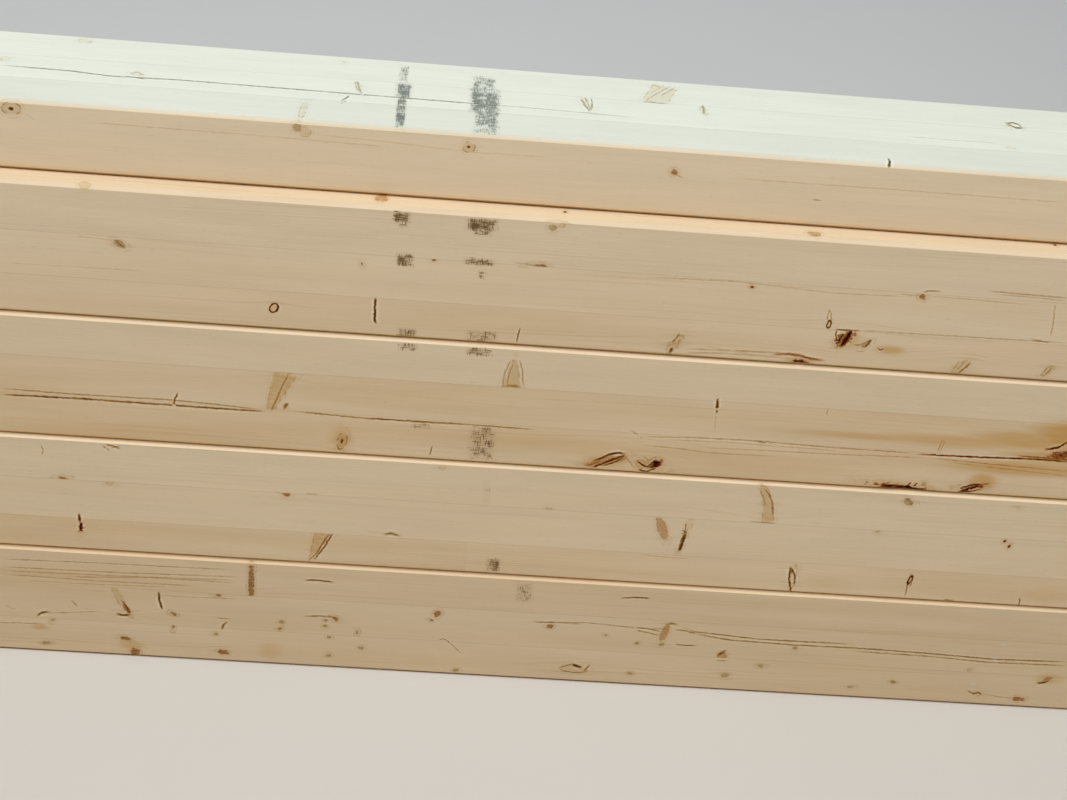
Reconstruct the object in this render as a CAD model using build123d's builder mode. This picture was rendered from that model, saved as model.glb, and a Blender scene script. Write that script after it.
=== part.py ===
from build123d import *
import os

os.makedirs("parts", exist_ok=True)

# A stack of glued-laminated spruce beams. Rows of beams stand on edge, side by side,
# and one more beam of the same stock lies flat on the top row, set back from the front.
# X runs along the beams, Y across the stack with its front at -Y, and Z is up.
# The origin is on the ground, under the middle of the stack. Sizes are in millimetres.

# The stock: boards glued flat to flat, planed to one section, with the arrises taken off
beam_length = 3000.0
beam_width = 60.0
board_thickness = 40.0
boards_per_beam = 3
arris_leg = 3.0

# The stack: beams on edge in rows, as loose as planed faces leave them
row_count = 4
column_names = ("front", "middle", "back")
air_between_rows = 0.5
air_between_columns = 1.0
top_beam_setback = 16.0

beam_depth = boards_per_beam * board_thickness
row_pitch = beam_depth + air_between_rows
column_pitch = beam_width + air_between_columns
front_column_y = -column_pitch * (len(column_names) - 1) / 2
stack_front_y = front_column_y - beam_width / 2
top_row_z = row_count * row_pitch


def make_beam(name, across, upright, centre_y, bottom_z):
    """Build one beam along X, sawn square at both ends, and write it to its own file."""
    sawn_end = Plane(
        origin=(-beam_length / 2, centre_y, bottom_z + upright / 2),
        x_dir=(0, 1, 0),
        z_dir=(1, 0, 0),
    )
    with BuildPart() as beam:
        with BuildSketch(sawn_end) as section:
            Rectangle(across, upright)
            chamfer(section.vertices(), length=arris_leg)
        extrude(amount=beam_length)

    beam.part.label = name
    export_step(beam.part, f"parts/{name}.step")


# Beams on edge: row 1 stands on the ground, and each row lies on the one below it
for row in range(row_count):
    for column, column_name in enumerate(column_names):
        make_beam(
            f"row{row + 1}_{column_name}_beam",
            across=beam_width,
            upright=beam_depth,
            centre_y=front_column_y + column * column_pitch,
            bottom_z=row * row_pitch,
        )

# The odd beam lies on its wide face, so its boards show side by side from above
make_beam(
    "top_flat_beam",
    across=beam_depth,
    upright=beam_width,
    centre_y=stack_front_y + top_beam_setback + beam_depth / 2,
    bottom_z=top_row_z,
)
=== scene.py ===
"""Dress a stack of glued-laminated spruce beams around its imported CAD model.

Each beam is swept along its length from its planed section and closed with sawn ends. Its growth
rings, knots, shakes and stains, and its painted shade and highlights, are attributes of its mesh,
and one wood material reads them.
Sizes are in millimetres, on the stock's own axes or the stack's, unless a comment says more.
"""

import logging
from dataclasses import dataclass, field
from enum import Enum
from functools import partial

import bpy
import numpy as np
from mathutils import Matrix, Vector
from mathutils.geometry import delaunay_2d_cdt


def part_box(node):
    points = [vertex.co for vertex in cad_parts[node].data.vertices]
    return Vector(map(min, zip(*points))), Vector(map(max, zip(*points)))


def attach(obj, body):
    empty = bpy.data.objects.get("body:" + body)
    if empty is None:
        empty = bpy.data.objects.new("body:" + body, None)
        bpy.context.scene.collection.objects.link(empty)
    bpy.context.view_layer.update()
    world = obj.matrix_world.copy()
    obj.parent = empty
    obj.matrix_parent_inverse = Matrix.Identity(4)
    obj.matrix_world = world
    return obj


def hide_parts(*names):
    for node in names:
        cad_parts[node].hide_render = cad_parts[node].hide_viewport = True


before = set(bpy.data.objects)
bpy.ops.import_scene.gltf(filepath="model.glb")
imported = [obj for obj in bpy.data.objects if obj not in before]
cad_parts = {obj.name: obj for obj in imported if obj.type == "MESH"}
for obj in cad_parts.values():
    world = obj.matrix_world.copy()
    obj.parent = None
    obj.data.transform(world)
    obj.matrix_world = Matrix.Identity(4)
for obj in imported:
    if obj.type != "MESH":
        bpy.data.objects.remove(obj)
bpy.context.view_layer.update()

log = logging.getLogger("lumber")
MM = 0.001
FAR = 400.0  # further than any mark reaches, in millimetres or in a knot's own radii
TOUCH = 0.01  # places nearer than this are one place

SMOOTH = {"interpolation_type": "SMOOTHSTEP"}  # a range that eases in and out
TIMES = {"operation": "MULTIPLY"}  # a product of two inputs
COLOURS = {"out": 2, "data_type": "RGBA"}  # a mix of two colours

Pair = tuple[float, float]
Socket = bpy.types.NodeSocket
Outputs = bpy.types.bpy_prop_collection


def linear(colour: str) -> tuple[float, float, float, float]:
    """Turn an sRGB hex colour such as "#c8a878" into linear light with an alpha of one.

    Args:
        colour: The colour.

    Returns:
        Its red, green and blue light, and the alpha.
    """
    channels = [int(colour[i:i + 2], 16) / 255 for i in (1, 3, 5)]
    light = [c / 12.92 if c <= 0.04045 else ((c + 0.055) / 1.055) ** 2.4 for c in channels]
    return (light[0], light[1], light[2], 1.0)


def smooth_step(low: float, high: float, value: np.ndarray) -> np.ndarray:
    """Ease from 0 at low to 1 at high."""
    t = np.clip((value - low) / (high - low), 0.0, 1.0)
    return t * t * (3.0 - 2.0 * t)


def add_node(tree: bpy.types.NodeTree, kind: str, feeds: dict | None = None, out: int | str = 0,
             **settings: object) -> Socket:
    """Add a node with its settings and links.

    Args:
        tree: The tree that gets the node.
        kind: The node's type name, which for a shader's node leaves out its "ShaderNode".
        feeds: Its inputs by name or number, each fed by a socket or set to a value.
        out: The output that is wanted.
        settings: The node's own properties.

    Returns:
        That output, or the node's first input where it has no output.
    """
    node = tree.nodes.new(kind if "Node" in kind else f"ShaderNode{kind}")
    for key, value in settings.items():
        setattr(node, key, value)
    for key, source in (feeds or {}).items():
        if isinstance(source, Socket):
            tree.links.new(source, node.inputs[key])
        else:
            node.inputs[key].default_value = source
    return node.outputs[out] if len(node.outputs) else node.inputs[0]


def new_material(name: str) -> tuple[bpy.types.Material, partial]:
    """Make a material with an empty tree, and what adds nodes to that tree.

    Args:
        name: The material's name.

    Returns:
        The material, and the function that adds a node to it.
    """
    material = bpy.data.materials.new(name)
    material.use_nodes = True
    material.node_tree.nodes.clear()
    return material, partial(add_node, material.node_tree)


def span(low: object = 0.0, high: object = 1.0, start: object = 0.0, end: object = 1.0) -> dict:
    """Give the inputs of a range that runs from start at low to end at high."""
    return {"From Min": low, "From Max": high, "To Min": start, "To Max": end}


class Lie(Enum):
    """How a beam lies in the stack, by the way that its best wide face looks."""

    FACING_FRONT = "front"
    FACING_BACK = "back"
    FACING_UP = "up"

    def turn(self) -> np.ndarray:
        """Give the turn from the stock's own axes to the stack's.

        Returns:
            The turn as a matrix.
        """
        if self is Lie.FACING_BACK:
            return np.array([[-1.0, 0, 0], [0, -1.0, 0], [0, 0, 1.0]])
        if self is Lie.FACING_UP:
            return np.array([[1.0, 0, 0], [0, 0, 1.0], [0, -1.0, 0]])
        return np.eye(3)


class Side(Enum):
    """The planed side of a beam that a mark is seen on."""

    WIDE = "wide"
    UPPER = "upper narrow"
    LOWER = "lower narrow"


class KnotKind(Enum):
    """What a knot is.

    Each has the dye that colours its wood, how dark its rim, its heart and its inbark are, and how
    square it is.
    """

    SOUND = ("#d0c6ae", 0.25, 0.00, 0.00, 0.0)
    FAINT = ("#f2ece0", 0.14, 0.00, 0.00, 0.0)
    SPIKE = ("#eddfc6", 0.18, 0.00, 0.00, 1.0)
    WARM = ("#e2c9a8", 0.15, 0.00, 0.10, 0.0)
    RED = ("#cba884", 0.30, 0.00, 0.30, 0.0)
    STREAK = ("#c0a07a", 0.45, 0.00, 0.15, 0.3)
    BARK = ("#cca070", 0.08, 0.00, 1.00, 0.2)
    PIN = ("#c4a682", 0.05, 0.75, 0.00, 0.0)
    RINGED = ("#efe9dd", 0.30, 0.27, 0.00, 0.0)
    LOOSE = ("#f6e6d4", 1.00, 0.00, 0.00, 0.0)


@dataclass(frozen=True)
class Knot:
    """A knot placed by where it shows in the reference image.

    Attributes:
        photo: Its middle across and down the image, in pixels.
        long: Its length on the face.
        short: Its width on the face.
        lean: The turn of its length from the grain, in degrees, rising to the right.
        kind: What kind of knot it is.
        taper: How much wider it is at its far end, and narrower at its near end.
        bend: How far its ends curve to its left, in its own short radii.
        pull: How far it bends the grain beside it, where 1 is usual.
        side: The planed side that it shows on.
    """

    photo: Pair
    long: float
    short: float
    lean: float = 0.0
    kind: KnotKind = KnotKind.SOUND
    taper: float = 0.0
    bend: float = 0.0
    pull: float = 1.0
    side: Side = Side.WIDE

    def radii(self, along: np.ndarray, across: np.ndarray) -> tuple[np.ndarray, np.ndarray]:
        """Turn distances from its middle into its own long and short radii.

        Args:
            along: How far along the grain.
            across: How far across it.

        Returns:
            The same in its long radii and in its short ones.
        """
        lean = np.radians(self.lean)
        u = (along * np.cos(lean) + across * np.sin(lean)) / (self.long / 2)
        v = (across * np.cos(lean) - along * np.sin(lean)) / (self.short / 2)
        near_u = np.clip(u, -1.3, 1.3)
        return u, (v - self.bend * near_u ** 2) / (1 + self.taper * near_u)


@dataclass(frozen=True)
class Shake:
    """A crack or a dark line of grain, placed by the image.

    Attributes:
        photo: Its points across and down the image, in pixels.
        width: How wide it looks.
        dark: How dark it is, from 0 to 1.
        side: The planed side that it shows on.
    """

    photo: tuple[Pair, ...]
    width: float = 0.9
    dark: float = 0.3
    side: Side = Side.WIDE


class Soil(Enum):
    """What discolours or tints the wood in a patch, as the channel of the stain attribute. The resin channel
    also holds painted shade, and the pale one a painted highlight.
    """

    RESIN = 0
    SMUDGE = 1
    PALE = 2


@dataclass(frozen=True)
class Patch:
    """A discoloured patch, placed by the image.

    Attributes:
        photo: Its middle across and down the image, in pixels.
        long: Its size along the grain.
        tall: Its size across the grain.
        soil: What it is.
        amount: How strong it is, from 0 to 1.
        side: The planed side that it shows on.
    """

    photo: Pair
    long: float
    tall: float
    soil: Soil = Soil.SMUDGE
    amount: float = 1.0
    side: Side = Side.WIDE


@dataclass(frozen=True)
class Board:
    """How one board of a beam looks.

    Attributes:
        tone: Lighter above 0, darker below, as a share.
        warmth: Redder and stronger above 0.
        contrast: How dark its late wood is.
        ring: The width of a growth ring.
        pith_out: How far the tree's heart is outwards of the beam's middle, towards the wide face.
        pith_up: How far the heart is above the board's middle.
        drift: How much the heart climbs for each metre along the board.
    """

    tone: float = 0.0
    warmth: float = 0.0
    contrast: float = 0.5
    ring: float = 2.6
    pith_out: float = -20.0
    pith_up: float = -45.0
    drift: float = 4.0


Placed = tuple[Knot | Patch, float, float]  # with its place along and around
Line = tuple[Shake, np.ndarray]  # with its places along and around
Pieces = list[list[tuple[float, Board]]]  # for each board, where its pieces start and how they look


@dataclass(frozen=True)
class ReferenceView:
    """The view that the stack is matched to, and the camera that takes it.

    Attributes:
        front_y: Where the stack's front is.
        image_width, image_height: The image's size in pixels.
        sensor, lens: The camera's sensor width and focal length.
        aside, away, above: The camera's place to the right of the stack's middle, before its front
            and above the ground.
        turn_deg, tip_deg, roll_deg: How far it is turned to the right, tipped down and rolled
            clockwise.
    """

    front_y: float
    image_width: float = 1067.0
    image_height: float = 800.0
    sensor: float = 36.0
    lens: float = 67.7
    aside: float = -102.0
    away: float = 1360.6
    above: float = 1248.7
    turn_deg: float = 4.27
    tip_deg: float = 34.53
    roll_deg: float = -6.22

    def axes(self) -> np.ndarray:
        """Give the camera's right, down and forward directions as rows.

        Returns:
            The three directions.
        """
        turn, tip, roll = np.radians([self.turn_deg, self.tip_deg, self.roll_deg])
        forward = np.array([np.sin(turn) * np.cos(tip), np.cos(turn) * np.cos(tip), -np.sin(tip)])
        level = np.array([np.cos(turn), -np.sin(turn), 0.0])
        steep = np.cross(forward, level)
        right = np.cos(roll) * level + np.sin(roll) * steep
        down = -np.sin(roll) * level + np.cos(roll) * steep
        return np.array([right, down, forward])

    def eye(self) -> np.ndarray:
        """Give the camera's place."""
        return np.array([self.aside, self.front_y - self.away, self.above])

    def hit(self, photo: Pair, axis: int, level: float) -> np.ndarray:
        """Find the point of an upright or level plane that shows at a pixel.

        Args:
            photo: The pixel's place across and down the image.
            axis: 1 for a plane of constant y, 2 for one of constant z.
            level: The plane's place on that axis.

        Returns:
            The point.
        """
        focal = self.lens / self.sensor * self.image_width
        across = (photo[0] - self.image_width / 2) / focal
        down = (photo[1] - self.image_height / 2) / focal
        ray = np.array([across, down, 1.0]) @ self.axes()
        eye = self.eye()
        return eye + ray * (level - eye[axis]) / ray[axis]

    def build(self) -> None:
        """Make the camera and use it for the scene."""
        right, down, forward = self.axes()
        data = bpy.data.cameras.new("reference_view")
        data.sensor_fit = "HORIZONTAL"
        data.sensor_width = self.sensor
        data.lens = self.lens
        camera = bpy.data.objects.new("reference_view", data)
        turned = Matrix((Vector(right), Vector(-down), Vector(-forward))).transposed().to_4x4()
        camera.matrix_world = Matrix.Translation(Vector(self.eye() * MM)) @ turned
        bpy.context.scene.collection.objects.link(camera)
        bpy.context.scene.camera = camera


@dataclass(frozen=True)
class Section:
    """The planed section of the stock, unrolled from the middle of its wide face.

    A place around the section is 0 at the middle of the wide face. It grows over the upper arris
    and the upper narrow face to the back, and falls over the lower ones.

    Attributes:
        width: The size of a narrow face, over its arrises.
        depth: The size of a wide face, over its arrises.
        arris: How far a planed arris cuts into both its faces.
    """

    width: float
    depth: float
    arris: float = 3.0

    @property
    def wide_half(self) -> float:
        """Half the flat of the wide face."""
        return self.depth / 2 - self.arris

    @property
    def narrow_flat(self) -> float:
        """The flat of a narrow face."""
        return self.width - 2 * self.arris

    @property
    def bevel(self) -> float:
        """The sloping width of a planed arris."""
        return self.arris * float(np.sqrt(2.0))

    @property
    def narrow_start(self) -> float:
        """Where a narrow face starts."""
        return self.wide_half + self.bevel

    @property
    def back_start(self) -> float:
        """Where the back face starts."""
        return self.narrow_start + self.narrow_flat + self.bevel

    @property
    def half_round(self) -> float:
        """The way from the middle of the wide face to the middle of the back."""
        return self.back_start + self.wide_half

    def points(self, around: np.ndarray) -> np.ndarray:
        """Give the section's points, as y and z, at places around it.

        Args:
            around: The places.

        Returns:
            A row of y and z for each.
        """
        edge_y, edge_z, leg = self.width / 2, self.depth / 2, self.arris
        stops = [0.0, self.wide_half, self.narrow_start, self.narrow_start + self.narrow_flat,
                 self.back_start, self.half_round]
        y = np.interp(np.abs(around), stops, [-edge_y, -edge_y, leg - edge_y, edge_y - leg, edge_y, edge_y])
        z = np.interp(np.abs(around), stops, [0.0, self.wide_half, edge_z, edge_z, self.wide_half, 0.0])
        return np.stack([y, np.sign(around) * z], axis=1)

    def rows(self, glue: Pair, wide: int, upper: int, lower: int, back: int) -> np.ndarray:
        """Give the places around the section where the swept mesh has its long edges.

        Args:
            glue: The heights of the two glue lines from the middle.
            wide: Rows for each board on the wide face.
            upper: Rows on the upper narrow face.
            lower: Rows on the lower narrow face.
            back: Rows for each board on the back.

        Returns:
            The places, from the middle of the back down over the top to the middle of the back.
        """
        stops = (-self.wide_half, *glue, self.wide_half)
        front = [np.linspace(a, b, wide + 1) for a, b in zip(stops, stops[1:])]
        rear_z = np.concatenate([np.linspace(a, b, back + 1) for a, b in zip(stops, stops[1:])])
        rear = np.where(rear_z < 0, -1.0, 1.0) * (self.half_round - np.abs(rear_z))
        narrow = [self.narrow_start + np.linspace(0, self.narrow_flat, upper + 1),
                  -self.narrow_start - np.linspace(0, self.narrow_flat, lower + 1)]
        folds = [self.wide_half + self.bevel / 2, self.back_start - self.bevel / 2]
        places = np.concatenate(front + narrow + [rear, folds, np.negative(folds), [self.half_round]])
        places = np.unique(np.round(places, 3))
        return places[np.append(np.diff(places) > TOUCH, True)][::-1]

    def around(self, side: Side, point: np.ndarray) -> float:
        """Give the place around the section of a point on one of its sides, on the stock's axes.

        Args:
            side: The side.
            point: The point.

        Returns:
            The place.
        """
        if side is Side.WIDE:
            return float(point[2])
        away = self.narrow_start + float(point[1]) + self.narrow_flat / 2
        return away if side is Side.UPPER else -away


class Planer:
    """Geometry Nodes that run a section along a beam's length, as a planer does.

    The stations where the section is repeated crowd together towards the middle of the beam,
    where the reference view looks.
    """

    INPUTS = (("Section", "NodeSocketObject"), ("Length", "NodeSocketFloat"), ("Stations", "NodeSocketInt"),
              ("Middle Step", "NodeSocketFloat"), ("Wood", "NodeSocketMaterial"))

    def __init__(self) -> None:
        """Build the tree and note its inputs' identifiers."""
        self.tree = bpy.data.node_groups.new("planer", "GeometryNodeTree")
        sockets = self.tree.interface.new_socket
        sockets("Geometry", in_out="OUTPUT", socket_type="NodeSocketGeometry")
        self.inputs = {name: sockets(name, in_out="INPUT", socket_type=kind).identifier
                       for name, kind in self.INPUTS}
        self._wire()

    def _wire(self) -> None:
        """Lay out the tree: the stations, the marked section, the sweep and the wood."""
        tree = self.tree
        given = add_node(tree, "NodeGroupInput").node.outputs
        line = add_node(tree, "GeometryNodeCurvePrimitiveLine", {"Start": (-0.5, 0, 0), "End": (0.5, 0, 0)})
        even = add_node(tree, "GeometryNodeResampleCurve", {"Curve": line, "Count": given["Stations"]})
        share = add_node(tree, "GeometryNodeSplineParameter", out="Factor")
        along = add_node(tree, "MapRange", {"Value": share} | span(start=-1.0, end=1.0))
        square = add_node(tree, "Math", {0: along, 1: along}, **TIMES)
        crowd = add_node(tree, "MapRange", {"Value": square} | span(start=given["Middle Step"]))
        spread = add_node(tree, "Math", {0: crowd, 1: along}, **TIMES)
        half = add_node(tree, "Math", {0: given["Length"], 1: 0.5}, **TIMES)
        station = add_node(tree, "Math", {0: spread, 1: half}, **TIMES)
        place = add_node(tree, "CombineXYZ", {"X": station})
        path = add_node(tree, "GeometryNodeSetPosition", {"Geometry": even, "Position": place})
        outline = add_node(tree, "GeometryNodeObjectInfo", {"Object": given["Section"]}, out="Geometry")
        length = add_node(tree, "GeometryNodeSplineParameter", out="Length")
        marked = add_node(tree, "GeometryNodeStoreNamedAttribute",
                          {"Geometry": outline, "Name": "around", "Value": length})
        sweep = add_node(tree, "GeometryNodeCurveToMesh", {"Curve": path, "Profile Curve": marked})
        whole = add_node(tree, "GeometryNodeRealizeInstances", {"Geometry": sweep})
        dressed = add_node(tree, "GeometryNodeSetMaterial", {"Geometry": whole, "Material": given["Wood"]})
        add_node(tree, "NodeGroupOutput", {"Geometry": dressed})

    def run(self, section: Section, rows: np.ndarray, length: float, stations: int, middle_step: float,
            wood: bpy.types.Material) -> bpy.types.Mesh:
        """Sweep one beam's skin.

        Args:
            section: The planed section.
            rows: The places around the section that get a long edge.
            length: The beam's length.
            stations: How often the section is repeated.
            middle_step: The step between stations at the middle, as a share of an even step.
            wood: The material.

        Returns:
            The skin in metres on the stock's own axes, open at both ends.
        """
        points = -section.points(rows) * MM  # the sweep turns the section half round
        curve = bpy.data.curves.new("section", "CURVE")
        curve.dimensions = "3D"
        spline = curve.splines.new("POLY")
        spline.points.add(len(points) - 1)
        spline.points.foreach_set("co", np.c_[points, np.zeros(len(points)), np.ones(len(points))].ravel())
        spline.use_cyclic_u = True
        outline = bpy.data.objects.new("section", curve)
        host = bpy.data.objects.new("sweep", bpy.data.meshes.new("sweep"))
        for item in (outline, host):
            bpy.context.scene.collection.objects.link(item)
        planer = host.modifiers.new("planer", "NODES")
        planer.node_group = self.tree
        for key, value in (("Section", outline), ("Length", length * MM), ("Stations", stations),
                           ("Middle Step", middle_step), ("Wood", wood)):
            planer[self.inputs[key]] = value
        depsgraph = bpy.context.evaluated_depsgraph_get()
        mesh = bpy.data.meshes.new_from_object(host.evaluated_get(depsgraph), depsgraph=depsgraph)
        for item in (host, outline):
            bpy.data.objects.remove(item)
        return mesh


class BeamShape:
    """The mesh of one beam as arrays on the stock's own axes, with the attributes that dress it.

    A mark belongs to whole faces, so that what their corners hold varies evenly over each face and
    breaks only between faces. A round knot stays round this way, on a mesh coarser than its rim.
    """

    END_GRID = 5.0  # the size of a sawn end's triangles
    CLOSE = 1e-4  # points of an end nearer than this are one point
    GLUE_SINK, RIM_SINK, BARK_SINK = 0.06, 0.15, 0.8  # how deep glue, a black rim and inbark lie
    BEAM_SHIFT, BOARD_SHIFT = 7000.0, 450.0  # how far apart two beams' and two boards' patterns are
    RING_SHIFT = 50.0  # the same of two pieces' rings
    SHARP_DEG = 28.0  # what bends less is shaded smooth
    FINGERS = 5  # across a joint, for each length of a finger
    KNOT_REACH = 2.5  # of a knot's length
    SLIM_KNOT = 2.5  # a knot longer than this, in its widths, bends the grain no more
    SHAKE_REACH, SHAKE_FADE = 6.0, 25.0  # how far beside a shake it counts, and the most it fades over
    SHAKE_EASE, SHAKE_OVER = 0.15, 0.4  # the share of a shake that fades, and how far it runs on
    FACES_DOWN = (0.2, 0.6)  # how far down a face looks where the painted warm shade starts, and where it is full
    HIDDEN_WARMTH = 0.95  # how strong the painted shade is on faces that look downwards: a warm resin tint for the shade and bounced light between the beams
    PULL_ALONG, PULL_ACROSS, PULL_SHARE = 1.6, 0.9, 0.75  # how a knot bends the grain, in its own sizes
    RIM_WIDTH = 0.3  # of a knot's radius
    SMUDGE_CORE, STAIN_CORE, PATCH_END = 0.55, 0.3, 1.2  # of a patch's half size
    HEART_CLIMBS = ((2.4, 310), (1.1, 127), (0.3, 43))  # waves of a tree's heart, by height and length
    HEART_STRAYS = ((3.0, 420), (0.8, 95))
    UNEVEN_RINGS = ((1.2, 9), (0.6, 3.7))

    def __init__(self, skin: bpy.types.Mesh, section: Section, row_count: int, glue: Pair,
                 random: np.random.Generator) -> None:
        """Read the swept skin, close both its ends and find each face's board.

        Args:
            skin: The swept skin, with its way around the section as an attribute.
            section: The planed section.
            row_count: How many vertices each station has.
            glue: The heights of the two glue lines.
            random: The beam's own random draws.
        """
        self.section = section
        self.glue = glue
        self.random = random
        self._read_skin(skin)
        self.tris = np.concatenate([self._close_end(row_count, end) for end in (-1, 1)])
        self.corner_vertex = np.concatenate([self.quads.ravel(), self.tris.ravel()])
        self.sizes = np.r_[np.full(len(self.quads), 4), np.full(len(self.tris), 3)]
        self.corner_face = np.repeat(np.arange(len(self.sizes)), self.sizes)
        self.x, self.y, self.z = self.places[self.corner_vertex].T
        wrapped = self.around[self.quads]
        seam = np.ptp(wrapped, axis=1) > section.half_round
        wrapped[seam] -= 2 * section.half_round * (wrapped[seam] > 0)
        self.corner_around = np.r_[wrapped.ravel(), np.full(self.tris.size, FAR)]
        self.face_x, self.face_y, self.face_z, self.face_around = (
            np.bincount(self.corner_face, values) / self.sizes
            for values in (self.x, self.y, self.z, self.corner_around))
        self.face_board = np.digitize(self.face_z, glue)
        self.sink = np.zeros(len(self.x))
        self.corner_data: dict[str, np.ndarray] = {}
        self.face_data: dict[str, np.ndarray] = {}

    def _read_skin(self, skin: bpy.types.Mesh) -> None:
        """Read the skin's vertices, its quads and each vertex's place around the section.

        Args:
            skin: The swept skin.
        """
        count = len(skin.vertices)
        places, way = np.empty(count * 3), np.empty(count)
        skin.vertices.foreach_get("co", places)
        skin.attributes["around"].data.foreach_get("value", way)
        quads = np.empty(len(skin.loops), dtype=np.int32)
        skin.loops.foreach_get("vertex_index", quads)
        self.places = places.reshape(-1, 3) / MM
        self.around = self.section.half_round - way / MM
        self.quads = quads.reshape(-1, 4)

    def _close_end(self, row_count: int, end: int) -> np.ndarray:
        """Close one sawn end with triangles that keep to the boards.

        Args:
            row_count: How many vertices each station has.
            end: 1 for the end at +X, -1 for the other.

        Returns:
            The triangles as vertex numbers.
        """
        swept = self.quads.max() + 1
        rim = np.arange(row_count) + (0 if end < 0 else swept - row_count)
        flat = self.places[rim, 1:]
        reach = np.array([self.section.width, self.section.depth]) / 2 - self.END_GRID
        across, up = (np.arange(-limit, limit + TOUCH, self.END_GRID) for limit in reach)
        up = up[np.min(np.abs(up[:, None] - np.array(self.glue)), axis=1) > self.END_GRID / 2]
        inner = np.array([(y, z) for z in (*self.glue, *up) for y in across])
        walls = []
        for number, line in enumerate(self.glue):
            ends = [int(i) for i in np.flatnonzero(np.abs(flat[:, 1] - line) < TOUCH)]
            ends.sort(key=lambda i: flat[i, 0])
            first = row_count + number * len(across)
            chain = [ends[0], *range(first, first + len(across)), ends[-1]]
            walls += list(zip(chain, chain[1:]))
        points = [Vector(point) for point in np.concatenate([flat, inner])]
        found = delaunay_2d_cdt(points, walls, [list(range(row_count))], 1, self.CLOSE)
        index = np.r_[rim, len(self.places) + np.arange(len(inner))]
        tris = index[np.array([[found[3][corner][0] for corner in face] for face in found[2]])]
        end_x = np.full(len(inner), self.places[rim[0], 0])
        self.places = np.concatenate([self.places, np.c_[end_x, inner]])
        self.around = np.r_[self.around, np.full(len(inner), FAR)]
        a, b, c = (self.places[tris[:, i], 1:] for i in range(3))
        turn = (b[:, 0] - a[:, 0]) * (c[:, 1] - a[:, 1]) - (b[:, 1] - a[:, 1]) * (c[:, 0] - a[:, 0])
        wrong = turn * end < 0
        tris[wrong] = tris[wrong][:, ::-1]
        return tris

    def grain(self, boards: Pieces, knots: list[Placed], finger: float, edges: Pair) -> None:
        """Count growth rings outwards from each board's heart, bent round the knots.

        Args:
            boards: For each board from the lowest, where its pieces start and how they look.
            knots: The beam's knots.
            finger: The length of the fingers that join two pieces.
            edges: How much lighter the arrises of the wide face and the narrow faces are painted, as shares,
                a painted highlight for the light that they catch.
        """
        y, z = self.y.copy(), self.z.copy()
        for mark, x, around in knots:
            size = min(mark.long, self.SLIM_KNOT * mark.short)
            along = self.PULL_ALONG * size * mark.pull
            near = np.flatnonzero(np.abs(self.x - x) < 3 * along)
            middle = self.section.points(np.array([around]))[0]
            dy, dz = self.y[near] - middle[0], self.z[near] - middle[1]
            reach = (dy * dy + dz * dz) / (self.PULL_ACROSS * size) ** 2
            bend = self.PULL_SHARE * np.exp(-((self.x[near] - x) / along) ** 2 - reach)
            y[near] -= dy * bend
            z[near] -= dz * bend
        steps = (-self.section.depth / 2, *self.glue, self.section.depth / 2)
        fingers = 1 - 2 * (np.floor(self.face_y / finger * self.FINGERS) % 2)
        narrow = np.abs(self.face_z) > self.section.depth / 2 - self.section.arris
        face_x = self.face_x + fingers * narrow * finger / 2
        rings, looks = np.zeros(len(self.x)), np.zeros((len(self.sizes), 3))
        for board, pieces in enumerate(boards):
            ends = [start for start, _ in pieces[1:]] + [np.inf]
            for (start, look), end in zip(pieces, ends):
                faces = (self.face_board == board) & (face_x >= start) & (face_x < end)
                looks[faces] = (look.tone, look.warmth, look.contrast)
                own = faces[self.corner_face]
                middle = (steps[board] + steps[board + 1]) / 2
                rings[own] = self._count_rings(look, middle, self.x[own], y[own], z[own])
        # Painted highlight: the arrises of the wide face and the narrow faces are made lighter for the light
        # that they catch.
        way = np.abs(self.face_around)
        looks[(way > self.section.wide_half) & (way < self.section.narrow_start), 0] += edges[0]
        looks[(way > self.section.narrow_start) & (way < self.section.back_start), 0] += edges[1]
        self.corner_data["ring"] = rings
        self.face_data["board"] = looks
        self.sink += self.GLUE_SINK * (self._from_glue() < TOUCH)

    def _count_rings(self, look: Board, middle: float, x: np.ndarray, y: np.ndarray,
                     z: np.ndarray) -> np.ndarray:
        """Count one piece's rings, with a heart that wanders as a tree's does.

        Args:
            look: How the piece looks.
            middle: The height of its board's middle.
            x, y, z: The places.

        Returns:
            The rings from the heart to each place.
        """
        phases = self.random.uniform(0, 2 * np.pi, 7)
        heart_z = middle + look.pith_up + look.drift * x / 1000 + self._sway(self.HEART_CLIMBS, x, phases)
        heart_y = -look.pith_out + self._sway(self.HEART_STRAYS, x, phases[3:])
        radius = np.hypot(y - heart_y, z - heart_z)
        uneven = self._sway(self.UNEVEN_RINGS, radius, phases[5:])
        return (radius + uneven) / look.ring + self.RING_SHIFT * self.random.integers(1, 40)

    def _sway(self, waves: tuple[Pair, ...], place: np.ndarray, phases: np.ndarray) -> np.ndarray:
        """Add up waves of a height and a length at each place."""
        return sum(height * np.sin(place / length + phase)
                   for (height, length), phase in zip(waves, phases))

    def _from_glue(self) -> np.ndarray:
        """Give each corner's height from the nearest glue line."""
        return np.min(np.abs(self.z[:, None] - np.array(self.glue)), axis=1)

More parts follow.
